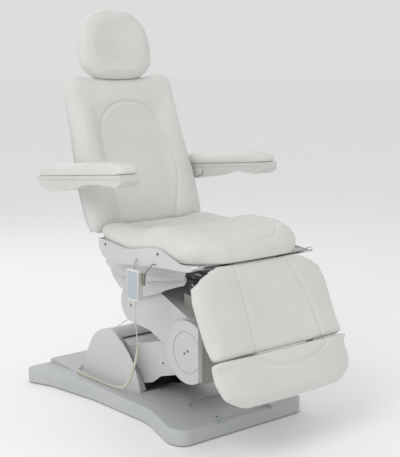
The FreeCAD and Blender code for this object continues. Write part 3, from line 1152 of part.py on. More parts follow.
# Actuators: a body with a rear eye, and a rod whose eye is slotted where the pin wanders
def make_actuator(name, rear, eye, side, body_length, slot_back, slot_ahead, along_room, stroke_in):
    start = Vector(side, rear[0], rear[1])
    end = Vector(side, eye[0], eye[1])
    run = (end - start)
    length = run.Length
    run.normalize()
    cross = run.cross(X_AXIS)
    body = Part.makeCylinder(S.motor_radius, body_length, start + run * S.drive_pin * 1.5, run)
    can = Part.makeCylinder(S.motor_radius * 0.9, body_length * 0.5, start + run * S.drive_pin * 2.5, run)
    can.translate(cross * (S.motor_radius * 1.2 if cross.z < 0 else -S.motor_radius * 1.2))
    lug_half = S.motor_radius - S.cover_wall
    lug = Part.makeCylinder(S.drive_pin * 2, 2 * lug_half, start - X_AXIS * lug_half, X_AXIS)
    pin_hole = Part.makeCylinder(S.drive_pin + S.pin_fit, 4 * S.motor_radius,
                                 start - X_AXIS * 2 * S.motor_radius, X_AXIS)
    bore_start = (length - body_length) * 0.62
    bore = Part.makeCylinder(S.rod_radius + S.loose_fit, length, start + run * (bore_start - stroke_in),
                             run)
    hinged = name == "lift"
    shape = body.fuse(lug) if hinged else body.fuse(can)
    shape = shape.cut(bore)
    if hinged:
        shape = shape.cut(pin_hole)
    shape_piece(name + "_motor", shape.removeSplitter())

    room = S.drive_pin + along_room
    rod_start = bore_start + along_room + 4
    rod = Part.makeCylinder(S.rod_radius, length - rod_start, start + run * rod_start, run)
    thick = 2 * S.eye_half
    outer_radius = room + S.eye_wall
    low = end - cross * slot_back - X_AXIS * S.eye_half
    high = end + cross * slot_ahead - X_AXIS * S.eye_half
    head = slot_solid(low, high, outer_radius, thick, run)
    hole = slot_solid(low - X_AXIS * thick, high - X_AXIS * thick, room, 3 * thick, run)
    shape_piece(name + "_rod", rod.fuse(head).cut(hole).removeSplitter())


def slot_solid(low, high, radius, thick, run):
    solid = Part.makeCylinder(radius, thick, low, X_AXIS)
    if low.distanceToPoint(high) < 1e-6:
        return solid
    side = run * radius
    face = Part.Face(Part.makePolygon([low - side, low + side, high + side, high - side, low - side]))
    return solid.fuse([Part.makeCylinder(radius, thick, high, X_AXIS), face.extrude(X_AXIS * thick)])


# Cords as tubes of straight runs and tangent arcs
def tube(points, radius, label):
    places = [Vector(*point) for point in points]
    edges = []
    here = places[0]
    radii = []
    for index in range(1, len(places) - 1):
        back = places[index - 1] - places[index]
        ahead = places[index + 1] - places[index]
        shorter = min(back.Length, ahead.Length)
        turn = math.pi - back.getAngle(ahead)
        reach = 0.45 * shorter
        bend = reach / math.tan(turn / 2)
        radii.append(round(bend, 1))
        back.normalize()
        ahead.normalize()
        start = places[index] + back * reach
        end = places[index] + ahead * reach
        inward = (back + ahead).normalize()
        middle = places[index] + inward * (bend / math.cos(turn / 2) - bend)
        edges.append(Part.LineSegment(here, start).toShape())
        edges.append(Part.Arc(start, middle, end).toShape())
        here = end
    edges.append(Part.LineSegment(here, places[-1]).toShape())
    path = Part.Wire(edges)
    direction = places[1] - places[0]
    ring_wire = Part.Wire(Part.Circle(places[0], direction, radius).toShape())
    sweep = Part.BRepOffsetAPI.MakePipeShell(path)
    sweep.add(ring_wire)
    sweep.build()
    sweep.makeSolid()
    solid = sweep.shape()
    print(label, "length %.0f" % path.Length,
          "volume share %.4f" % (solid.Volume / (math.pi * radius ** 2 * path.Length)),
          "smallest bend %.1f of" % min(radii), radii)
    return solid


CORD_LEAD = ((-303, -248, 480), (-303, -248, 446), (-303, -252, 404), (-302, -257, 362), (-299, -257, 322))
CORD_CURL = ((-299, -257, 322), (-297.5, -257, 302), (-292, -241, 276), (-283, -220, 246),
             (-270, -190, 208), (-254, -150, 162),
             (-238, -108, 124), (-222, -62, 95), (-210, -14, 78), (-206, 38, 71), (-207, 92, 70),
             (-205, 146, 70), (-206, 200, 70),
             (-207, 252, 71), (-200, 300, 72), (-176, 334, 73), (-140, 347, 76))
CORD_TAIL = ((-140, 347, 76), (-124, 352.8, 77.3), (-105, 347, 92), (-88, 330, 122), (-72, 312, 156),
             (-54, 290, 196),
             (-34, 262, 236), (-10, 228, 268), (16, 196, 292), (42, 168, 316), (62, 148, 350),
             (76, 134, 392), (83, 126, 440),
             (84, 123, 490), (84, 122, 540), (84, 122, 572))


def make_cords():
    shape_piece("cord_lead", tube(CORD_LEAD, S.cord_radius, "lead"))
    shape_piece("cord_curl", tube(CORD_CURL, S.curl_radius, "curl"))
    shape_piece("cord_tail", tube(CORD_TAIL, S.cord_radius, "tail"))
    x, y, z = CORD_TAIL[-1]
    gland = Part.makeCone(S.cord_radius * 1.6, S.cord_radius * 2.6, 18, Vector(x, y, z))
    head = Part.makeBox(24, y - HEAD[0] - 110 + 12, 18, Vector(x - 12, HEAD[0] + 110, z + 18))
    shape_piece("cord_gland", gland.fuse(head).removeSplitter())


# Hand control: shell with key pockets, keys and a wire hook
def make_remote():
    shell = new_body("remote_shell")
    low = S.remote_low
    middle = -S.remote_along
    half = S.remote_wide / 2
    outline = rounded(((middle - half + 4, low, 14), (middle + half - 4, low, 14),
                       (middle + half, low + S.remote_tall, 12),
                       (middle - half, low + S.remote_tall, 12)))
    pad(shell, "YZ_Plane", outline, "-remote_side - remote_thick * 0.5", "remote_thick")
    pad(shell, "XY_Plane", ring(-S.remote_side, middle, S.cord_radius * 2.4), "remote_low - 14", "16")
    for index in range(4):
        centre = low + S.remote_tall * 0.3 + index * S.key_pitch
        hole = box(middle - S.key_wide / 2 - S.key_gap, middle + S.key_wide / 2 + S.key_gap,
                   centre - S.key_tall / 2 - S.key_gap, centre + S.key_tall / 2 + S.key_gap)
        pocket(shell, "YZ_Plane", hole, "-remote_side - remote_thick * 0.5 - overrun",
               "key_depth + overrun")
    seat_at(shell)
    for index in range(4):
        centre = low + S.remote_tall * 0.3 + index * S.key_pitch
        key = new_body("remote_key_%d" % (index + 1))
        plan = rounded(((middle - S.key_wide / 2, centre - S.key_tall / 2, 2),
                        (middle + S.key_wide / 2, centre - S.key_tall / 2, 2),
                        (middle + S.key_wide / 2, centre + S.key_tall / 2, 2),
                        (middle - S.key_wide / 2, centre + S.key_tall / 2, 2)))
        pad(key, "YZ_Plane", plan, "-remote_side - remote_thick * 0.5 - key_travel * 1.5",
            "key_depth + key_travel * 0.25")
        seat_at(key)
    top = low + S.remote_tall
    x = -S.remote_side
    wire = tube(((x, middle, top), (x, middle, top + 14), (x + 1, middle, top + 26),
                 (x + 6, middle, top + 35), (-S.seat_half, middle, top + 35)),
                2.2, "hook")
    shape_piece("remote_hook", wire)


make_base()
make_hump()
make_lower_arm()
make_knee()
make_upper_arm()
make_seat()
make_soft_seat()
make_back()
make_headrest()
make_armrests()
make_arm_brackets()
make_legrest()
make_actuator("lift", LIFT_DRIVE_TOP, LIFT_DRIVE_EYE, 0, 215, 0, 0, 3.2, 0)
make_actuator("back", BACK_DRIVE_END, BACK_DRIVE_EYE, S.drive_side, 186, 11, 5, 2.4, 66)
make_actuator("leg", LEG_DRIVE_END, LEG_DRIVE_EYE, -S.drive_side, 190, 8, 5, 1.6, 0)
make_remote()
make_cords()
doc.recompute()

# Checks, then one file for each piece
for item in doc.Objects:
    if "Invalid" in item.State or "Error" in item.State:
        raise SystemExit("failed object %s %s" % (item.Name, item.State))
os.makedirs("parts", exist_ok=True)
low_y = 0
high_y = 0
for piece in PARTS:
    shape = piece.Shape
    if shape.isNull() or not shape.isValid() or shape.Volume < 1:
        raise SystemExit("bad shape " + piece.Label)
    if not piece.Label.startswith("cord"):
        low_y = min(low_y, shape.BoundBox.YMin)
        high_y = max(high_y, shape.BoundBox.YMax)
    shape.exportStep("parts/%s.step" % piece.Label)
print("pieces", len(PARTS), "box middle along Y %.1f" % ((low_y + high_y) / 2))
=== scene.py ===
import bpy
import bmesh
import json
import math
from mathutils import Matrix, Vector, kdtree


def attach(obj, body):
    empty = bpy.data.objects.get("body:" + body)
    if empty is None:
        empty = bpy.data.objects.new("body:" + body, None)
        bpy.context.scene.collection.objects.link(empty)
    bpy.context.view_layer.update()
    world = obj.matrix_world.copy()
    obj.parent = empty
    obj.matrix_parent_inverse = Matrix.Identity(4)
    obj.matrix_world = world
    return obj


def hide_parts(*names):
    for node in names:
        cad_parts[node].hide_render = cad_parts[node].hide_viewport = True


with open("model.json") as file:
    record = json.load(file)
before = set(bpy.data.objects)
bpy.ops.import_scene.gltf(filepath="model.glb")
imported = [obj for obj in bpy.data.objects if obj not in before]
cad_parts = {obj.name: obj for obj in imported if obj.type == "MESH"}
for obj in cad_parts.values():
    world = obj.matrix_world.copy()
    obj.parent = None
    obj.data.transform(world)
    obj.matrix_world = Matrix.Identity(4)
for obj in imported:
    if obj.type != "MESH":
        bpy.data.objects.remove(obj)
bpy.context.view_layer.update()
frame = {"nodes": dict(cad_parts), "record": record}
cadNodes = frame["nodes"]
scene = bpy.context.scene
mm = 0.001
print("frame is in")


# where the pieces lie: each place has Y along its piece and Z out of its face
def tilted(along, high, tilt):
    return Matrix.Translation((0, along * mm, high * mm)) @ Matrix.Rotation(math.radians(tilt), 4, "X")


seatPlace = tilted(142, 0, 0)
backPlace = tilted(184, 700, 71)
headPlace = backPlace @ tilted(773, -19.5, 9)
legPlace = tilted(-433, 640, 64.7)
armPlace = tilted(227, 905, -5.3)


def makeCamera():
    view = dict(place=(-2.572, -3.166, 1.400), look=(0.6366, 0.7533, -0.1650), lens=82.7, sensor=36)
    data = bpy.data.cameras.new("photoCamera")
    data.lens = view["lens"]
    data.sensor_width = view["sensor"]
    data.clip_end = 60
    camera = bpy.data.objects.new("photoCamera", data)
    scene.collection.objects.link(camera)
    camera.location = view["place"]
    camera.rotation_euler = Vector(view["look"]).to_track_quat("-Z", "Y").to_euler()
    scene.camera = camera


makeCamera()


# small helpers
def tone(red, green, blue):
    shade = []
    for value in (red, green, blue):
        value /= 255
        shade.append(value / 12.92 if value <= 0.04045 else ((value + 0.055) / 1.055) ** 2.4)
    return (*shade, 1)


def smoothStep(value):
    value = max(0.0, min(1.0, value))
    return value * value * (3 - 2 * value)


def rise(value, start, span):
    return smoothStep((value - start) / span)


def tableAt(table, place):
    for (startPlace, startValue), (endPlace, endValue) in zip(table, table[1:]):
        if place <= endPlace:
            share = max(0.0, (place - startPlace) / (endPlace - startPlace))
            return startValue + (endValue - startValue) * smoothStep(share)
    return table[-1][1]


def addObject(name, mesh, body, finish):
    piece = bpy.data.objects.new(name, mesh)
    scene.collection.objects.link(piece)
    mesh.materials.clear()
    mesh.materials.append(finish)
    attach(piece, body)
    return piece


def finishMesh(bm, name, place, smooth=True):
    bmesh.ops.recalc_face_normals(bm, faces=bm.faces[:])
    bmesh.ops.transform(bm, matrix=place @ Matrix.Scale(mm, 4), verts=bm.verts[:])
    mesh = bpy.data.meshes.new(name)
    bm.to_mesh(mesh)
    bm.free()
    if smooth:
        mesh.polygons.foreach_set("use_smooth", [True] * len(mesh.polygons))
    return mesh


def applyModifiers(piece):
    bpy.context.view_layer.update()
    graph = bpy.context.evaluated_depsgraph_get()
    solid = bpy.data.meshes.new_from_object(piece.evaluated_get(graph))
    old = piece.data
    piece.modifiers.clear()
    piece.data = solid
    bpy.data.meshes.remove(old)


# finishes
def newFinish(name, colour, roughness, metallic=0.0):
    finish = bpy.data.materials.new(name)
    finish.use_nodes = True
    shader = finish.node_tree.nodes["Principled BSDF"]
    shader.inputs["Base Color"].default_value = colour
    shader.inputs["Roughness"].default_value = roughness
    shader.inputs["Metallic"].default_value = metallic
    return finish, finish.node_tree, shader


def pattern(tree, kind, scale, **settings):
    place = tree.nodes.get("where") or tree.nodes.new("ShaderNodeTexCoord")
    place.name = "where"
    node = tree.nodes.new("ShaderNodeTex" + kind)
    node.inputs["Scale"].default_value = scale
    for key, value in settings.items():
        if key in node.inputs:
            node.inputs[key].default_value = value
        else:
            setattr(node, key, value)
    tree.links.new(place.outputs["Object"], node.inputs["Vector"])
    return node


def blendColours(tree, shader, source, low, high):
    ramp = tree.nodes.new("ShaderNodeValToRGB")
    lowEnd, highEnd = 0.3, 0.7
    ramp.color_ramp.elements[0].position = lowEnd
    ramp.color_ramp.elements[1].position = highEnd
    ramp.color_ramp.elements[0].color = low
    ramp.color_ramp.elements[1].color = high
    tree.links.new(source, ramp.inputs["Fac"])
    tree.links.new(ramp.outputs["Color"], shader.inputs["Base Color"])


def rangeTo(tree, source, atNone, atFull, socket):
    node = tree.nodes.new("ShaderNodeMapRange")
    node.inputs["To Min"].default_value = atNone
    node.inputs["To Max"].default_value = atFull
    tree.links.new(source, node.inputs["Value"])
    tree.links.new(node.outputs["Result"], socket)


def addBump(tree, shader, source, strength, distance, below=None):
    bump = tree.nodes.new("ShaderNodeBump")
    bump.inputs["Strength"].default_value = strength
    bump.inputs["Distance"].default_value = distance
    tree.links.new(source, bump.inputs["Height"])
    if below:
        tree.links.new(below.outputs["Normal"], bump.inputs["Normal"])
    tree.links.new(bump.outputs["Normal"], shader.inputs["Normal"])
    return bump


def upholsteryFinish():
    look = dict(light=tone(219, 220, 215), dark=tone(213, 214, 209), broad=5.5, grain=620, thread=1400,
                folds=7)
    finish, tree, shader = newFinish("paleUpholstery", look["light"], 0.46)
    shader.inputs["Specular IOR Level"].default_value = 0.42
    shader.inputs["Sheen Weight"].default_value = 0.12
    shader.inputs["Sheen Roughness"].default_value = 0.5
    broad = pattern(tree, "Noise", look["broad"], Detail=3.0, Roughness=0.5)
    blendColours(tree, shader, broad.outputs["Fac"], look["dark"], look["light"])
    cells = pattern(tree, "Voronoi", look["grain"], feature="DISTANCE_TO_EDGE")
    fine = pattern(tree, "Noise", look["thread"], Detail=2.0)
    folds = pattern(tree, "Noise", look["folds"], Detail=1.5, Roughness=0.4)
    first = addBump(tree, shader, folds.outputs["Fac"], strength=0.35, distance=0.0022)
    second = addBump(tree, shader, cells.outputs["Distance"], strength=0.30, distance=0.00035, below=first)
    addBump(tree, shader, fine.outputs["Fac"], strength=0.12, distance=0.0002, below=second)
    rangeTo(tree, cells.outputs["Distance"], 0.54, 0.40, shader.inputs["Roughness"])
    return finish


def mouldedFinish(name, light, dark, roughness, grain=900, strength=0.10):
    look = dict(broad=4, sink=9, smoother=0.05, rougher=0.07)
    finish, tree, shader = newFinish(name, light, roughness)
    broad = pattern(tree, "Noise", look["broad"], Detail=4.0, Roughness=0.55)
    blendColours(tree, shader, broad.outputs["Fac"], dark, light)
    spark = pattern(tree, "Noise", grain, Detail=3.0)
    sink = pattern(tree, "Noise", look["sink"], Detail=1.0)
    under = addBump(tree, shader, sink.outputs["Fac"], strength=0.15, distance=0.001)
    addBump(tree, shader, spark.outputs["Fac"], strength=strength, distance=0.00025, below=under)
    rangeTo(tree, broad.outputs["Fac"], roughness - look["smoother"], roughness + look["rougher"],
            shader.inputs["Roughness"])
    return finish


def metalFinish(name, light, dark, roughness, scratch):
    look = dict(smoother=0.06, rougher=0.12)
    finish, tree, shader = newFinish(name, light, roughness, metallic=1.0)
    lines = pattern(tree, "Noise", scratch, Detail=5.0, Roughness=0.6)
    blendColours(tree, shader, lines.outputs["Fac"], dark, light)
    rangeTo(tree, lines.outputs["Fac"], roughness - look["smoother"], roughness + look["rougher"],
            shader.inputs["Roughness"])
    addBump(tree, shader, lines.outputs["Fac"], strength=0.06, distance=0.0002)
    return finish


def woodFinish():
    finish, tree, shader = newFinish("boardPlywood", tone(172, 148, 112), 0.6)
    grain = pattern(tree, "Wave", 22, Distortion=7.0, Detail=3.0)
    blendColours(tree, shader, grain.outputs["Fac"], tone(158, 132, 98), tone(186, 162, 126))
    addBump(tree, shader, grain.outputs["Fac"], strength=0.15, distance=0.0004)
    rangeTo(tree, grain.outputs["Fac"], 0.5, 0.7, shader.inputs["Roughness"])
    return finish


finishes = dict(
    upholstery=upholsteryFinish(),
    cover_plastic=mouldedFinish("palePlastic", tone(210, 210, 210), tone(204, 204, 205), 0.38),
    base_plastic=mouldedFinish("greyPlastic", tone(194, 196, 197), tone(186, 189, 190), 0.42),
    dark_plastic=mouldedFinish("darkPlastic", tone(74, 75, 77), tone(62, 63, 65), 0.5),
    # fluted panel: the covers' pale plastic painted in a darker grey tone as painted shade under the seat and
    # legrest
    ribbedPaintedShade=mouldedFinish("ribbedPanelPaintedShade", tone(172, 172, 166), tone(160, 160, 154), 0.52),
    tray=mouldedFinish("trayPlastic", tone(212, 213, 209), tone(206, 207, 203), 0.4),
    remote_plastic=mouldedFinish("handsetShell", tone(226, 226, 222), tone(219, 219, 216), 0.35),
    key_plastic=mouldedFinish("keyPad", tone(186, 194, 202), tone(178, 187, 196), 0.45),
    clip=mouldedFinish("clipPlastic", tone(140, 136, 122), tone(126, 122, 110), 0.5),
    frame_steel=metalFinish("framePaint", tone(150, 150, 150), tone(136, 137, 139), 0.42, 60),
    pin_steel=metalFinish("pinSteel", tone(196, 196, 196), tone(176, 177, 180), 0.28, 180),
    rod_chrome=metalFinish("rodChrome", tone(228, 228, 230), tone(214, 214, 218), 0.14, 220),
    board_wood=woodFinish(),
    foot_rubber=mouldedFinish("footRubber", tone(52, 52, 52), tone(40, 40, 40), 0.8, 500, 0.3),
    cord_rubber=mouldedFinish("cordSkin", tone(216, 212, 200), tone(208, 204, 192), 0.5, 700, 0.12),
    darkWire=metalFinish("darkWire", tone(96, 95, 92), tone(74, 73, 70), 0.3, 200),
    slotShade=mouldedFinish("screwShade", tone(92, 92, 92), tone(78, 78, 80), 0.5),
)
print("finishes are ready")


# hand control cord: straight lead, curls and straight tail in one spline
def splineCurve(name, points, depth, steps=6, around=3):
    curve = bpy.data.curves.new(name, "CURVE")
    curve.dimensions = "3D"
    spline = curve.splines.new("NURBS")
    spline.points.add(len(points) - 1)
    for knot, point in zip(spline.points, points):
        knot.co = (*point, 1)
    spline.order_u = 3
    spline.use_endpoint_u = True
    spline.resolution_u = steps
    curve.bevel_depth = depth
    curve.bevel_resolution = around
    curve.use_fill_caps = True
    return curve


def meshOf(name, curve):
    holder = bpy.data.objects.new(name, curve)
    scene.collection.objects.link(holder)
    bpy.context.view_layer.update()
    mesh = bpy.data.meshes.new_from_object(holder.evaluated_get(bpy.context.evaluated_depsgraph_get()))
    bpy.data.objects.remove(holder)
    bpy.data.curves.remove(curve)
    return mesh


def followed(name, points, steps):
    line = meshOf(name, splineCurve(name, points, 0, steps))
    places = [vertex.co.copy() for vertex in line.vertices]
    bpy.data.meshes.remove(line)
    return places


def curled(places, cordSpec):
    perTurn, endTurns = 12, 2
    steps = [0.0]
    for before, after in zip(places, places[1:]):
        steps.append(steps[-1] + (after - before).length)
    total = steps[-1]
    count = int(total / cordSpec["pitch"] * perTurn)
    points = []
    side = Vector((1, 0, 0))
    index = 0
    for number in range(count + 1):
        reach = total * number / count
        while index < len(steps) - 2 and steps[index + 1] < reach:
            index += 1
        ahead = (places[index + 1] - places[index]).normalized()
        here = places[index] + ahead * (reach - steps[index])
        side = (side - ahead * side.dot(ahead)).normalized()
        other = ahead.cross(side)
        angle = math.tau * number / perTurn
        swell = smoothStep(min(reach, total - reach) / (cordSpec["pitch"] * endTurns))
        points.append(here + (side * math.cos(angle) + other * math.sin(angle)) * cordSpec["curl"] * swell)
    return points


handCord = dict(
    radius=0.0020, pitch=0.0056, curl=0.0038,
    lead=((-0.303, -0.106, 0.480), (-0.303, -0.106, 0.446), (-0.303, -0.110, 0.404), (-0.302, -0.115, 0.362),
          (-0.299, -0.115, 0.322)),
    curls=((-0.299, -0.115, 0.322), (-0.2975, -0.115, 0.302), (-0.292, -0.099, 0.276), (-0.283, -0.078, 0.246),
           (-0.270, -0.048, 0.208), (-0.254, -0.008, 0.162), (-0.238, 0.034, 0.124), (-0.222, 0.080, 0.095),
           (-0.210, 0.128, 0.078), (-0.206, 0.180, 0.071), (-0.207, 0.234, 0.070), (-0.205, 0.288, 0.070),
           (-0.206, 0.342, 0.070), (-0.207, 0.394, 0.071), (-0.200, 0.442, 0.072), (-0.176, 0.476, 0.073),
           (-0.140, 0.489, 0.076)),
    tail=((-0.140, 0.489, 0.076), (-0.124, 0.4948, 0.0773), (-0.105, 0.489, 0.092), (-0.088, 0.472, 0.122),
          (-0.072, 0.454, 0.156), (-0.054, 0.432, 0.196), (-0.034, 0.404, 0.236), (-0.010, 0.370, 0.268),
          (0.016, 0.338, 0.292), (0.042, 0.310, 0.316), (0.062, 0.290, 0.350), (0.076, 0.276, 0.392),
          (0.083, 0.268, 0.440), (0.084, 0.265, 0.490), (0.084, 0.264, 0.540), (0.084, 0.264, 0.572)),
)


def makeHandCord():
    lead = [Vector(point) for point in handCord["lead"]]
    tail = [Vector(point) for point in handCord["tail"]]
    curls = curled(followed("curlRoute", handCord["curls"], 24), handCord)
    points = lead[:-1] + curls + tail[1:]
    mesh = meshOf("handCordTube", splineCurve("handCord", points, handCord["radius"], 3, 2))
    mesh.polygons.foreach_set("use_smooth", [True] * len(mesh.polygons))
    piece = addObject("handCord", mesh, "seat", finishes["cord_rubber"])
    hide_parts("cord_lead", "cord_curl", "cord_tail")
    line = followed("handCordLine", points, 3)


makeHandCord()


# cushions: a dense rounded blank gets its relief, is filled by cloth pressure, then evened and sewn
def blankPoint(corner, pad):
    middle = (pad["start"] + pad["finish"]) / 2
    halfLong = (pad["finish"] - pad["start"]) / 2
    halfWide = pad["half"]
    reach = max(abs(corner.x), abs(corner.y))
    if reach < 1e-6:
        plan = Vector((0, 0))
        edge = min(halfWide, halfLong)
    else:
        plan = Vector((corner.x / reach * halfWide, corner.y / reach * halfLong))
        radius = pad["endRadius"] if plan.y > 0 else pad["startRadius"]
        core = Vector((max(-halfWide + radius, min(halfWide - radius, plan.x)),
                       max(-halfLong + radius, min(halfLong - radius, plan.y))))
        out = plan - core
        if abs(out.x) > 1e-6 and abs(out.y) > 1e-6:
            plan = core + out.normalized() * radius
        spread = 1 - (1 - reach) ** 1.5
        edge = (1 - spread) * min(halfWide, halfLong)
        plan *= spread
    y = middle + plan.y
    taper = tableAt(pad["halves"], (y - pad["start"]) / (pad["finish"] - pad["start"])) / halfWide
    bow = pad.get("bowEnd", 0) if plan.y > 0 else -pad.get("bowStart", 0)
    y += bow * (1 - (plan.x / halfWide) ** 2) * min(1.0, abs(plan.y) / halfLong)
    x = plan.x * taper
    top = pad["high"] - rounding(edge, endRound(pad, plan.y / halfLong))
    bottom = pad["low"] + rounding(edge, pad["rearRound"])
    if "under" in pad:
        bottom += pad["under"](x, y)
    if corner.z > 0.999:
        z = top
    elif corner.z < -0.999:
        z = bottom
    else:
        share = (corner.z + 1) / 2
        z = bottom + (top - bottom) * share
        swell = pad.get("belly", 0) * (1 - corner.z ** 2)
        outward = Vector((x, y - middle)).normalized()
        x += outward.x * swell
        y += outward.y * swell
    return Vector((x, y, z))


def endRound(pad, share):
    end = pad.get("finishRound" if share > 0 else "firstRound", pad["faceRound"])
    return pad["faceRound"] + (end - pad["faceRound"]) * smoothStep((abs(share) - 0.55) / 0.4)


def rounding(edge, radius):
    if edge >= radius:
        return 0.0
    return radius - math.sqrt(max(0.0, radius ** 2 - (radius - edge) ** 2))


def padBlank(pad):
    bm = bmesh.new()
    bmesh.ops.create_cube(bm, size=2)
    bmesh.ops.subdivide_edges(bm, edges=bm.edges[:], cuts=pad.get("cuts", 27), use_grid_fill=True)
    for vertex in bm.verts:
        vertex.co = blankPoint(vertex.co, pad)
        if "relief" in pad and vertex.co.z > (pad["low"] + pad["high"]) / 2:
            lift = (vertex.co.z - pad["low"]) / (pad["high"] - pad["low"])
            vertex.co.z += pad["relief"](vertex.co.x, vertex.co.y) * lift
    return bm


def linePoints(points, step=2.0):
    places = []
    for index in range(len(points) - 1):
        before = Vector(points[max(index - 1, 0)])
        start = Vector(points[index])
        end = Vector(points[index + 1])
        after = Vector(points[min(index + 2, len(points) - 1)])
        count = max(2, int((end - start).length / step))
        for number in range(count):
            t = number / count
            places.append(0.5 * ((2 * start) + (end - before) * t
                                 + (2 * before - 5 * start + 4 * end - after) * t ** 2
                                 + (3 * start - before - 3 * end + after) * t ** 3))
    places.append(Vector(points[-1]))
    return places


def sewSeams(bm, pad):
    faceUp, seamReach = 0.15, 3
    for seam in pad.get("seams", ()):
        places = linePoints(seam["line"])
        tree = kdtree.KDTree(len(places))
        for index, place in enumerate(places):
            tree.insert((place.x, place.y, 0), index)
        tree.balance()
        for vertex in bm.verts:
            if vertex.normal.z < faceUp:
                continue
            distance = tree.find((vertex.co.x, vertex.co.y, 0))[2]
            if distance < seam["wide"] * seamReach:
                vertex.co -= vertex.normal * seam["deep"] * math.exp(-(distance / seam["wide"]) ** 2)


def puff(piece, pad):
    heldBand, lastFrame = 4, 16
    fabric = dict(quality=4, use_pressure=True, uniform_pressure_force=4, tension_stiffness=25,
                  compression_stiffness=25, bending_stiffness=2.0)
    start = [vertex.co.copy() for vertex in piece.data.vertices]
    inverse = pad["place"].inverted()
    band = pad["low"] * mm + heldBand * mm
    held = piece.vertex_groups.new(name="held")
    resting = [vertex.index for vertex in piece.data.vertices if (inverse @ vertex.co).z < band]
    held.add(resting, 1.0, "REPLACE")
    cloth = piece.modifiers.new("fill", "CLOTH")
    for key, value in fabric.items():
        setattr(cloth.settings, key, value)
    cloth.settings.effector_weights.gravity = 0
    cloth.settings.vertex_group_mass = "held"
    cloth.collision_settings.use_self_collision = False
    cloth.point_cache.frame_start = 1
    cloth.point_cache.frame_end = lastFrame
    for number in range(1, lastFrame + 1):
        scene.frame_set(number)
    applyModifiers(piece)
    scene.frame_set(1)
    piece.vertex_groups.clear()
    cap = pad["cap"] * mm
    for vertex, place in zip(piece.data.vertices, start):
        move = vertex.co - place
        if move.length > cap:
            vertex.co = place + move * (cap / move.length)


def evenOut(bm):
    bmesh.ops.smooth_vert(bm, verts=bm.verts[:], factor=0.5, use_axis_x=True, use_axis_y=True,
                          use_axis_z=True)


def makeCushion(name, pad):
    mesh = finishMesh(padBlank(pad), name, pad["place"])
    piece = addObject(name, mesh, pad["body"], finishes["upholstery"])
    remesh = piece.modifiers.new("even", "REMESH")
    remesh.mode = "VOXEL"
    remesh.voxel_size = pad["voxel"] * mm
    remesh.use_smooth_shade = True
    applyModifiers(piece)
    puff(piece, pad)
    bm = bmesh.new()
    bm.from_mesh(piece.data)
    bmesh.ops.transform(bm, matrix=Matrix.Scale(1 / mm, 4) @ pad["place"].inverted(), verts=bm.verts[:])
    for turn in range(3):
        evenOut(bm)
    bmesh.ops.subdivide_edges(bm, edges=bm.edges[:], cuts=1, use_grid_fill=True, smooth=0.0)
    evenOut(bm)
    bm.normal_update()
    sewSeams(bm, pad)
    bmesh.ops.transform(bm, matrix=pad["place"] @ Matrix.Scale(mm, 4), verts=bm.verts[:])
    bm.to_mesh(piece.data)
    bm.free()
    piece.data.polygons.foreach_set("use_smooth", [True] * len(piece.data.polygons))
    piece.data.materials.clear()
    piece.data.materials.append(finishes["upholstery"])
    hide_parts(pad["node"])
    print(name, "is padded, faces", len(piece.data.polygons))


def backRelief(x, y):
    dip, rollDeep, bolsterHigh, bolsterSide, bolsterWide = 19, 10, 9, 215, 34
    side = abs(x)
    crown = rise(y, 450, 100)
    ridge = max(rise(side, 140, 60), crown)
    bolster = math.exp(-((side - bolsterSide) / bolsterWide) ** 2) * (1 - crown) * rise(y, 20, 90)
    roll = rise(y, 575, 90) * rollDeep * (1 - rise(side, 120, 110))
    return -dip * (1 - ridge) - roll + bolsterHigh * bolster


def backUnder(x, y):
    hollow = 28
    return hollow * (1 - rise(abs(x), 156, 12)) * (1 - rise(y, 44, 16))


def seatRelief(x, y):
    sink, thighHigh, dip, frontDip = 39, 28, 10, 8
    front = rise(-y, 430, 130)
    middle = dip * (1 - rise(abs(x), 130, 90)) * (1 - 0.6 * front)
    return -sink + thighHigh * rise(-y, 170, 150) - middle - frontDip * front


def seatUnder(x, y):
    hollow = 52
    return hollow * rise(y, -22, 32)


def headRelief(x, y):
    dip, halfWide = 13, 150
    dish = (1 - smoothStep(abs(x) / halfWide)) * (1 - rise(abs(y), 60, 70))
    return -dip * dish


def headUnder(x, y):
    hollow = 15
    return hollow * rise(-y, 26, 74) * (1 - rise(abs(x), 45, 25))


def legRelief(x, y):
    middleDip, endDip = 7, 9
    middle = 1 - rise(abs(x), 120, 90)
    return -middleDip * middle - (endDip - middleDip * middle) * rise(y, -46, 30)


def legUnder(x, y):
    hollow = 35
    return hollow * rise(y, -42, 16)


def footRelief(x, y):
    dip = 9
    heel = rise(y, -400, 50) * (1 - rise(abs(x), 130, 70))
    return -dip * heel
backPad = dict(
    node="back_cushion", body="back", place=backPlace, start=6, finish=670, half=286, low=-30, high=15,
    halves=((0, 276), (0.12, 284), (0.3, 286), (0.45, 278), (0.6, 270), (0.85, 268), (0.95, 265), (1, 256)),
    startRadius=30, endRadius=62, bowStart=6, bowEnd=-38, faceRound=30, rearRound=6, belly=3, voxel=6.5,
    cap=5, relief=backRelief, under=backUnder,
    seams=(dict(wide=6.5, deep=5.5,
                line=((-146, 46), (-150, 161), (-156, 282), (-153, 394), (-129, 464), (-90, 505), (-42, 524),
                      (10, 527), (68, 516), (119, 486), (150, 426), (170, 334), (182, 250), (176, 177),
                      (160, 109), (146, 46))),))
seatPad = dict(
    node="seat_cushion", body="seat", place=seatPlace, start=-584, finish=34, half=283, low=661, high=778,
    halves=((0, 270), (0.12, 283), (0.8, 283), (1, 272)), startRadius=140, endRadius=40, bowStart=14,
    faceRound=58, finishRound=24, rearRound=13, belly=4, voxel=7, cap=6, relief=seatRelief, under=seatUnder,
    seams=(dict(wide=6, deep=4.2,
                line=((184, -330), (186, -420), (168, -500), (120, -560), (60, -580), (0, -584), (-60, -580),
                      (-120, -560), (-168, -500), (-186, -420), (-184, -330))),))
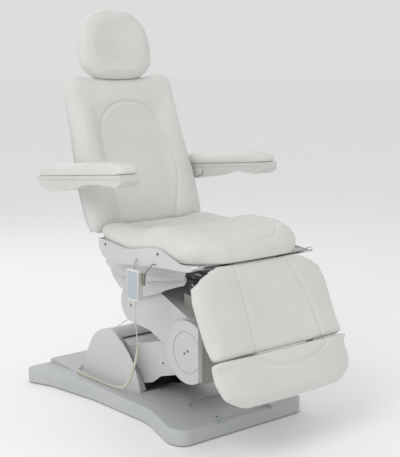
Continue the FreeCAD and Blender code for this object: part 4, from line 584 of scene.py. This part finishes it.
headPad = dict(
    node="headrest_cushion", body="headrest", place=headPlace, start=-126, finish=138, half=176, low=2,
    high=62, halves=((0, 158), (0.2, 174), (0.45, 176), (0.75, 166), (1, 150)), startRadius=64, endRadius=112,
    bowStart=16, bowEnd=6, faceRound=34, rearRound=12, belly=3, voxel=4.5, cap=5, relief=headRelief,
    under=headUnder)
legPad = dict(
    node="leg_cushion", body="legrest", place=legPlace, start=-313, finish=14, half=325, low=-20, high=27,
    halves=((0, 311), (0.25, 323), (0.65, 325), (0.82, 313), (0.86, 297), (0.9, 281), (0.95, 256), (1, 226)),
    startRadius=18, endRadius=60, faceRound=30, firstRound=9, finishRound=16, rearRound=6, belly=2, voxel=5.5,
    cap=3, relief=legRelief, under=legUnder,
    seams=(dict(wide=6, deep=5.0, line=((-116, -8), (-116, -93), (-120, -189), (-128, -313))),
           dict(wide=6, deep=5.0, line=((143, -8), (176, -111), (192, -216), (198, -313)))))
footPad = dict(
    node="foot_cushion", body="footrest", place=legPlace, start=-486, finish=-314, half=325, low=-20, high=33,
    halves=((0, 282), (0.3, 314), (0.6, 325), (1, 322)), startRadius=74, endRadius=14, bowStart=4,
    faceRound=32, finishRound=8, rearRound=8, belly=2, voxel=5.5, cap=5, relief=footRelief,
    seams=(dict(wide=6, deep=5.0,
                line=((-128, -312), (-110, -342), (-60, -368), (14, -378), (100, -374), (164, -356),
                      (198, -336), (206, -312))),))


def armPad(name, sign):
    place = armPlace @ Matrix.Translation((sign * 0.345, 0, 0))
    return dict(
        node="armrest_pad_" + name, body="armrest_" + name, place=place, start=-377, finish=197, half=45, low=30,
        high=74, halves=((0, 40), (0.08, 45), (0.92, 45), (1, 40)), startRadius=26, endRadius=26, faceRound=24,
        rearRound=4, belly=2, voxel=4, cap=3, cuts=19)


cushions = dict(backCushion=backPad, seatCushion=seatPad, headCushion=headPad, legCushion=legPad,
                footCushion=footPad, armCushionLeft=armPad("left", 1), armCushionRight=armPad("right", -1))
for cushionName, cushionPad in cushions.items():
    makeCushion(cushionName, cushionPad)


# screws: domed heads with a cross slot, all sizes as shares of the head's radius
screwHead = dict(sides=28, narrow=0.82, tall=0.5, rim=0.18, sink=0.12, slot=(1.1, 0.2, 0.16), slotHigh=0.22,
                 turn=22)


def makeScrews(name, body, places, radius):
    bm = bmesh.new()
    for place, direction in places:
        turn = Vector((0, 0, 1)).rotation_difference(Vector(direction)).to_matrix().to_4x4()
        spot = Matrix.Translation(Vector(place)) @ turn
        earlier = set(bm.verts)
        made = bmesh.ops.create_cone(bm, cap_ends=True, segments=screwHead["sides"], radius1=radius,
                                     radius2=radius * screwHead["narrow"], depth=radius * screwHead["tall"])
        caps = [face for vertex in made["verts"] for face in vertex.link_faces if len(face.verts) > 4]
        top = max(set(caps), key=lambda face: face.calc_center_median().z)
        bmesh.ops.inset_region(bm, faces=[top], thickness=radius * screwHead["rim"],
                               depth=-radius * screwHead["sink"])
        for angle in (0, 90):
            bar = bmesh.ops.create_cube(bm, size=1)["verts"]
            bmesh.ops.scale(bm, vec=[radius * share for share in screwHead["slot"]], verts=bar)
            twist = Matrix.Rotation(math.radians(angle + screwHead["turn"]), 3, "Z")
            bmesh.ops.rotate(bm, matrix=twist, verts=bar)
            bmesh.ops.translate(bm, vec=(0, 0, radius * screwHead["slotHigh"]), verts=bar)
        bmesh.ops.transform(bm, matrix=spot, verts=[vertex for vertex in bm.verts if vertex not in earlier])
    mesh = finishMesh(bm, name, seatPlace, smooth=False)
    addObject(name, mesh, body, finishes["slotShade"])


def sidePairs(side, spots):
    return [((sign * side, along, high), (-sign, 0, 0)) for sign in (-1, 1) for along, high in spots]


def makeAllScrews():
    makeScrews("kneeCapScrews", "knee", sidePairs(150.5, ((-372, 296), (-352, 284))), 4.5)
    makeScrews("lowerArmScrews", "lower_arm", sidePairs(110.5, ((-170, 196),)), 4.5)
    makeScrews("upperArmScrews", "upper_arm", sidePairs(130.5, ((11, 400),)), 4.5)
    makeScrews("shellScrews", "seat", sidePairs(290.5, ((-46, 676), (-372, 684))), 5)
    onDeck = ((-106, -486), (106, -486), (-143, 500), (143, 500))
    makeScrews("baseScrews", "base", [((side, along, 62.5), (0, 0, 1)) for side, along in onDeck], 5.5)
    print("screws are set")


makeAllScrews()


# cover under the seat: its deep cheeks, and the rear wall between them with a notch for the cord
def thicken(bm, faces, move):
    made = bmesh.ops.extrude_face_region(bm, geom=faces)["geom"]
    inner = [item for item in made if isinstance(item, bmesh.types.BMVert)]
    bmesh.ops.translate(bm, vec=move, verts=inner)


def makeBellApron():
    cheek = ((131, 0, 577), (128, 0, 565), (112, 0, 518), (68, 0, 477), (28, 0, 462), (-30, 0, 455),
             (-102, 0, 459), (-204, 0, 491), (-235, 0, 505), (-314, 0, 533), (-352, 0, 546), (-366, 0, 577))
    side, wall, notch, wallLow, step = 150.5, 2.5, (70, 98), 500, 6.0
    bm = bmesh.new()
    for sign in (-1, 1):
        edge = [bm.verts.new((sign * side, place.x, place.z)) for place in linePoints(cheek, step)]
        thicken(bm, [bm.faces.new(edge)], (-sign * wall, 0, 0))
    rows = [(place.x, place.z) for place in linePoints(cheek[:4], step) if place.z > wallLow]
    strip = []
    for first, last in ((-side + wall, notch[0]), (notch[1], side - wall)):
        left, right = [[bm.verts.new((x, y, z)) for y, z in rows] for x in (first, last)]
        strip += [bm.faces.new((left[n], right[n], right[n + 1], left[n + 1])) for n in range(len(rows) - 1)]
    thicken(bm, strip, (0, -wall, 0))
    mesh = finishMesh(bm, "bellApron", seatPlace, smooth=False)
    addObject("bellApron", mesh, "seat", finishes["cover_plastic"])
    print("apron hangs under the seat cover")


makeBellApron()


# legrest hinge bolts at the shells' front tips: start, length, radius and sides of each part
def makeHingeBolts():
    along, high = -572, 662
    parts = dict(shank=(-300, 26, 5.5, 24), head=(-298, 7, 9.5, 6), nut=(-284, 6, 9.5, 6))
    turn = Matrix.Rotation(math.radians(90), 4, "Y")
    bm = bmesh.new()
    for sign in (-1, 1):
        for start, length, radius, sides in parts.values():
            made = bmesh.ops.create_cone(bm, cap_ends=True, segments=sides, radius1=radius, radius2=radius,
                                         depth=length)
            place = Matrix.Translation((sign * -(start + length / 2), along, high))
            bmesh.ops.transform(bm, matrix=place @ turn, verts=made["verts"])
    mesh = finishMesh(bm, "hingeBolts", seatPlace, smooth=False)
    addObject("hingeBolts", mesh, "seat", finishes["rod_chrome"])
    print("hinge bolts are set")


makeHingeBolts()


# hand control: keypad sheet, clip and the clip's wire
def newBlock(bm, size):
    made = bmesh.ops.create_cube(bm, size=1)["verts"]
    bmesh.ops.scale(bm, vec=size, verts=made)


def makeHandControl():
    sheet = dict(size=(0.8, 60, 104), radius=8, steps=6, place=(-314.4, -248, 553))
    bm = bmesh.new()
    newBlock(bm, sheet["size"])
    upright = [edge for edge in bm.edges if abs((edge.verts[0].co - edge.verts[1].co).x) > 0.1]
    bmesh.ops.bevel(bm, geom=upright, offset=sheet["radius"], segments=sheet["steps"], profile=0.5,
                    affect="EDGES", material=-1)
    bmesh.ops.translate(bm, vec=sheet["place"], verts=bm.verts[:])
    mesh = finishMesh(bm, "keypadSheet", seatPlace, smooth=False)
    addObject("keypadSheet", mesh, "seat", finishes["key_plastic"])

    clip = dict(size=(9, 22, 44), radius=2, steps=3, narrowing=(0.8, 0.62, 1), place=(-302, -300, 580))
    bm = bmesh.new()
    newBlock(bm, clip["size"])
    bmesh.ops.bevel(bm, geom=bm.edges[:], offset=clip["radius"], segments=clip["steps"], profile=0.5,
                    affect="EDGES", material=-1)
    low = [vertex for vertex in bm.verts if vertex.co.z < 0]
    bmesh.ops.scale(bm, vec=clip["narrowing"], verts=low)
    bmesh.ops.translate(bm, vec=clip["place"], verts=bm.verts[:])
    mesh = finishMesh(bm, "handControlClip", seatPlace, smooth=False)
    addObject("handControlClip", mesh, "seat", finishes["clip"])

    wire = dict(radius=1.3, line=((-301, -300, 598), (-299, -317, 612), (-297, -335, 631), (-295, -350, 648),
                                  (-294, -366, 644)))
    bend = splineCurve("clipWireLine", [seatPlace @ (Vector(place) * mm) for place in wire["line"]],
                       wire["radius"] * mm)
    mesh = meshOf("handControlWire", bend)
    addObject("handControlWire", mesh, "seat", finishes["darkWire"])
    print("hand control is dressed")


makeHandControl()


# carried-over pieces: their edges are welded and softened, and each gets its finish
softEdges = dict(cover_plastic=1.6, base_plastic=2.2, dark_plastic=0.5, remote_plastic=2.0, frame_steel=0.8,
                 key_plastic=0.6)
roundEdges = dict(knee_caps=6, hump_cover=4, upper_arm_cover=5, seat_shells=2.5, arm_hood=3,
                  lower_arm_cover=2.5, underseat_cover=4, armrest_tray_left=4, armrest_tray_right=4)
slotOfNode = {part["node"]: part["material_slot"] for part in frame["record"]["subparts"]}
# knee_cover and arm_hood take the darker fluted finish, which is painted shade
finishOfNode = dict(knee_cover="ribbedPaintedShade", arm_hood="ribbedPaintedShade", armrest_tray_left="tray",
                    armrest_tray_right="tray", armrest_bracket_left="tray",
                    armrest_bracket_right="tray", seat_board="upholstery",
                    # leg_board gets the grey frame_steel finish as painted shade along the legrest pad's edge
                    leg_board="frame_steel")


def dressNode(name, node):
    weldGap, sharpAngle, bevelSteps = 0.02, 38, 2
    slotName = slotOfNode[name]
    node.data.materials.clear()
    node.data.materials.append(finishes[finishOfNode.get(name, slotName)])
    weld = node.modifiers.new("joined", "WELD")
    weld.merge_threshold = weldGap * mm
    width = roundEdges.get(name, softEdges.get(slotName))
    if width:
        bevel = node.modifiers.new("softened", "BEVEL")
        bevel.width = width * mm
        bevel.segments = bevelSteps
        bevel.limit_method = "ANGLE"
        bevel.angle_limit = math.radians(sharpAngle)
        bevel.harden_normals = False


for nodeName, node in cadNodes.items():
    if not node.hide_render:
        dressNode(nodeName, node)
print("carried pieces are dressed")


# floor and light
def makeStage():
    floorReach, floorShade, floorRough, glow = 70, (0.98, 0.98, 0.98, 1), 0.8, 0.72
    aim = Vector((0, 0, 0.6))
    lamps = dict(key=((-3.4, -1.2, 3.6), 2.4, 56), fill=((2.6, -3.0, 2.4), 2.6, 7),
                 rear=((0.6, 3.2, 3.2), 2.6, 22))
    bm = bmesh.new()
    bmesh.ops.create_grid(bm, x_segments=1, y_segments=1, size=floorReach)
    mesh = bpy.data.meshes.new("studioFloor")
    bm.to_mesh(mesh)
    bm.free()
    floor = bpy.data.objects.new("studioFloor", mesh)
    scene.collection.objects.link(floor)
    mesh.materials.append(newFinish("floorWhite", floorShade, floorRough)[0])
    for name, (place, size, power) in lamps.items():
        data = bpy.data.lights.new(name + "Lamp", "AREA")
        data.size = size
        data.energy = power
        lamp = bpy.data.objects.new(name + "Lamp", data)
        scene.collection.objects.link(lamp)
        lamp.location = place
        lamp.rotation_euler = (aim - Vector(place)).to_track_quat("-Z", "Y").to_euler()
    world = bpy.data.worlds.new("studioWorld")
    world.use_nodes = True
    background = world.node_tree.nodes["Background"]
    background.inputs["Color"].default_value = (1, 1, 1, 1)
    background.inputs["Strength"].default_value = glow
    scene.world = world
    scene.view_settings.view_transform = "Standard"
    print("stage is lit")


makeStage()
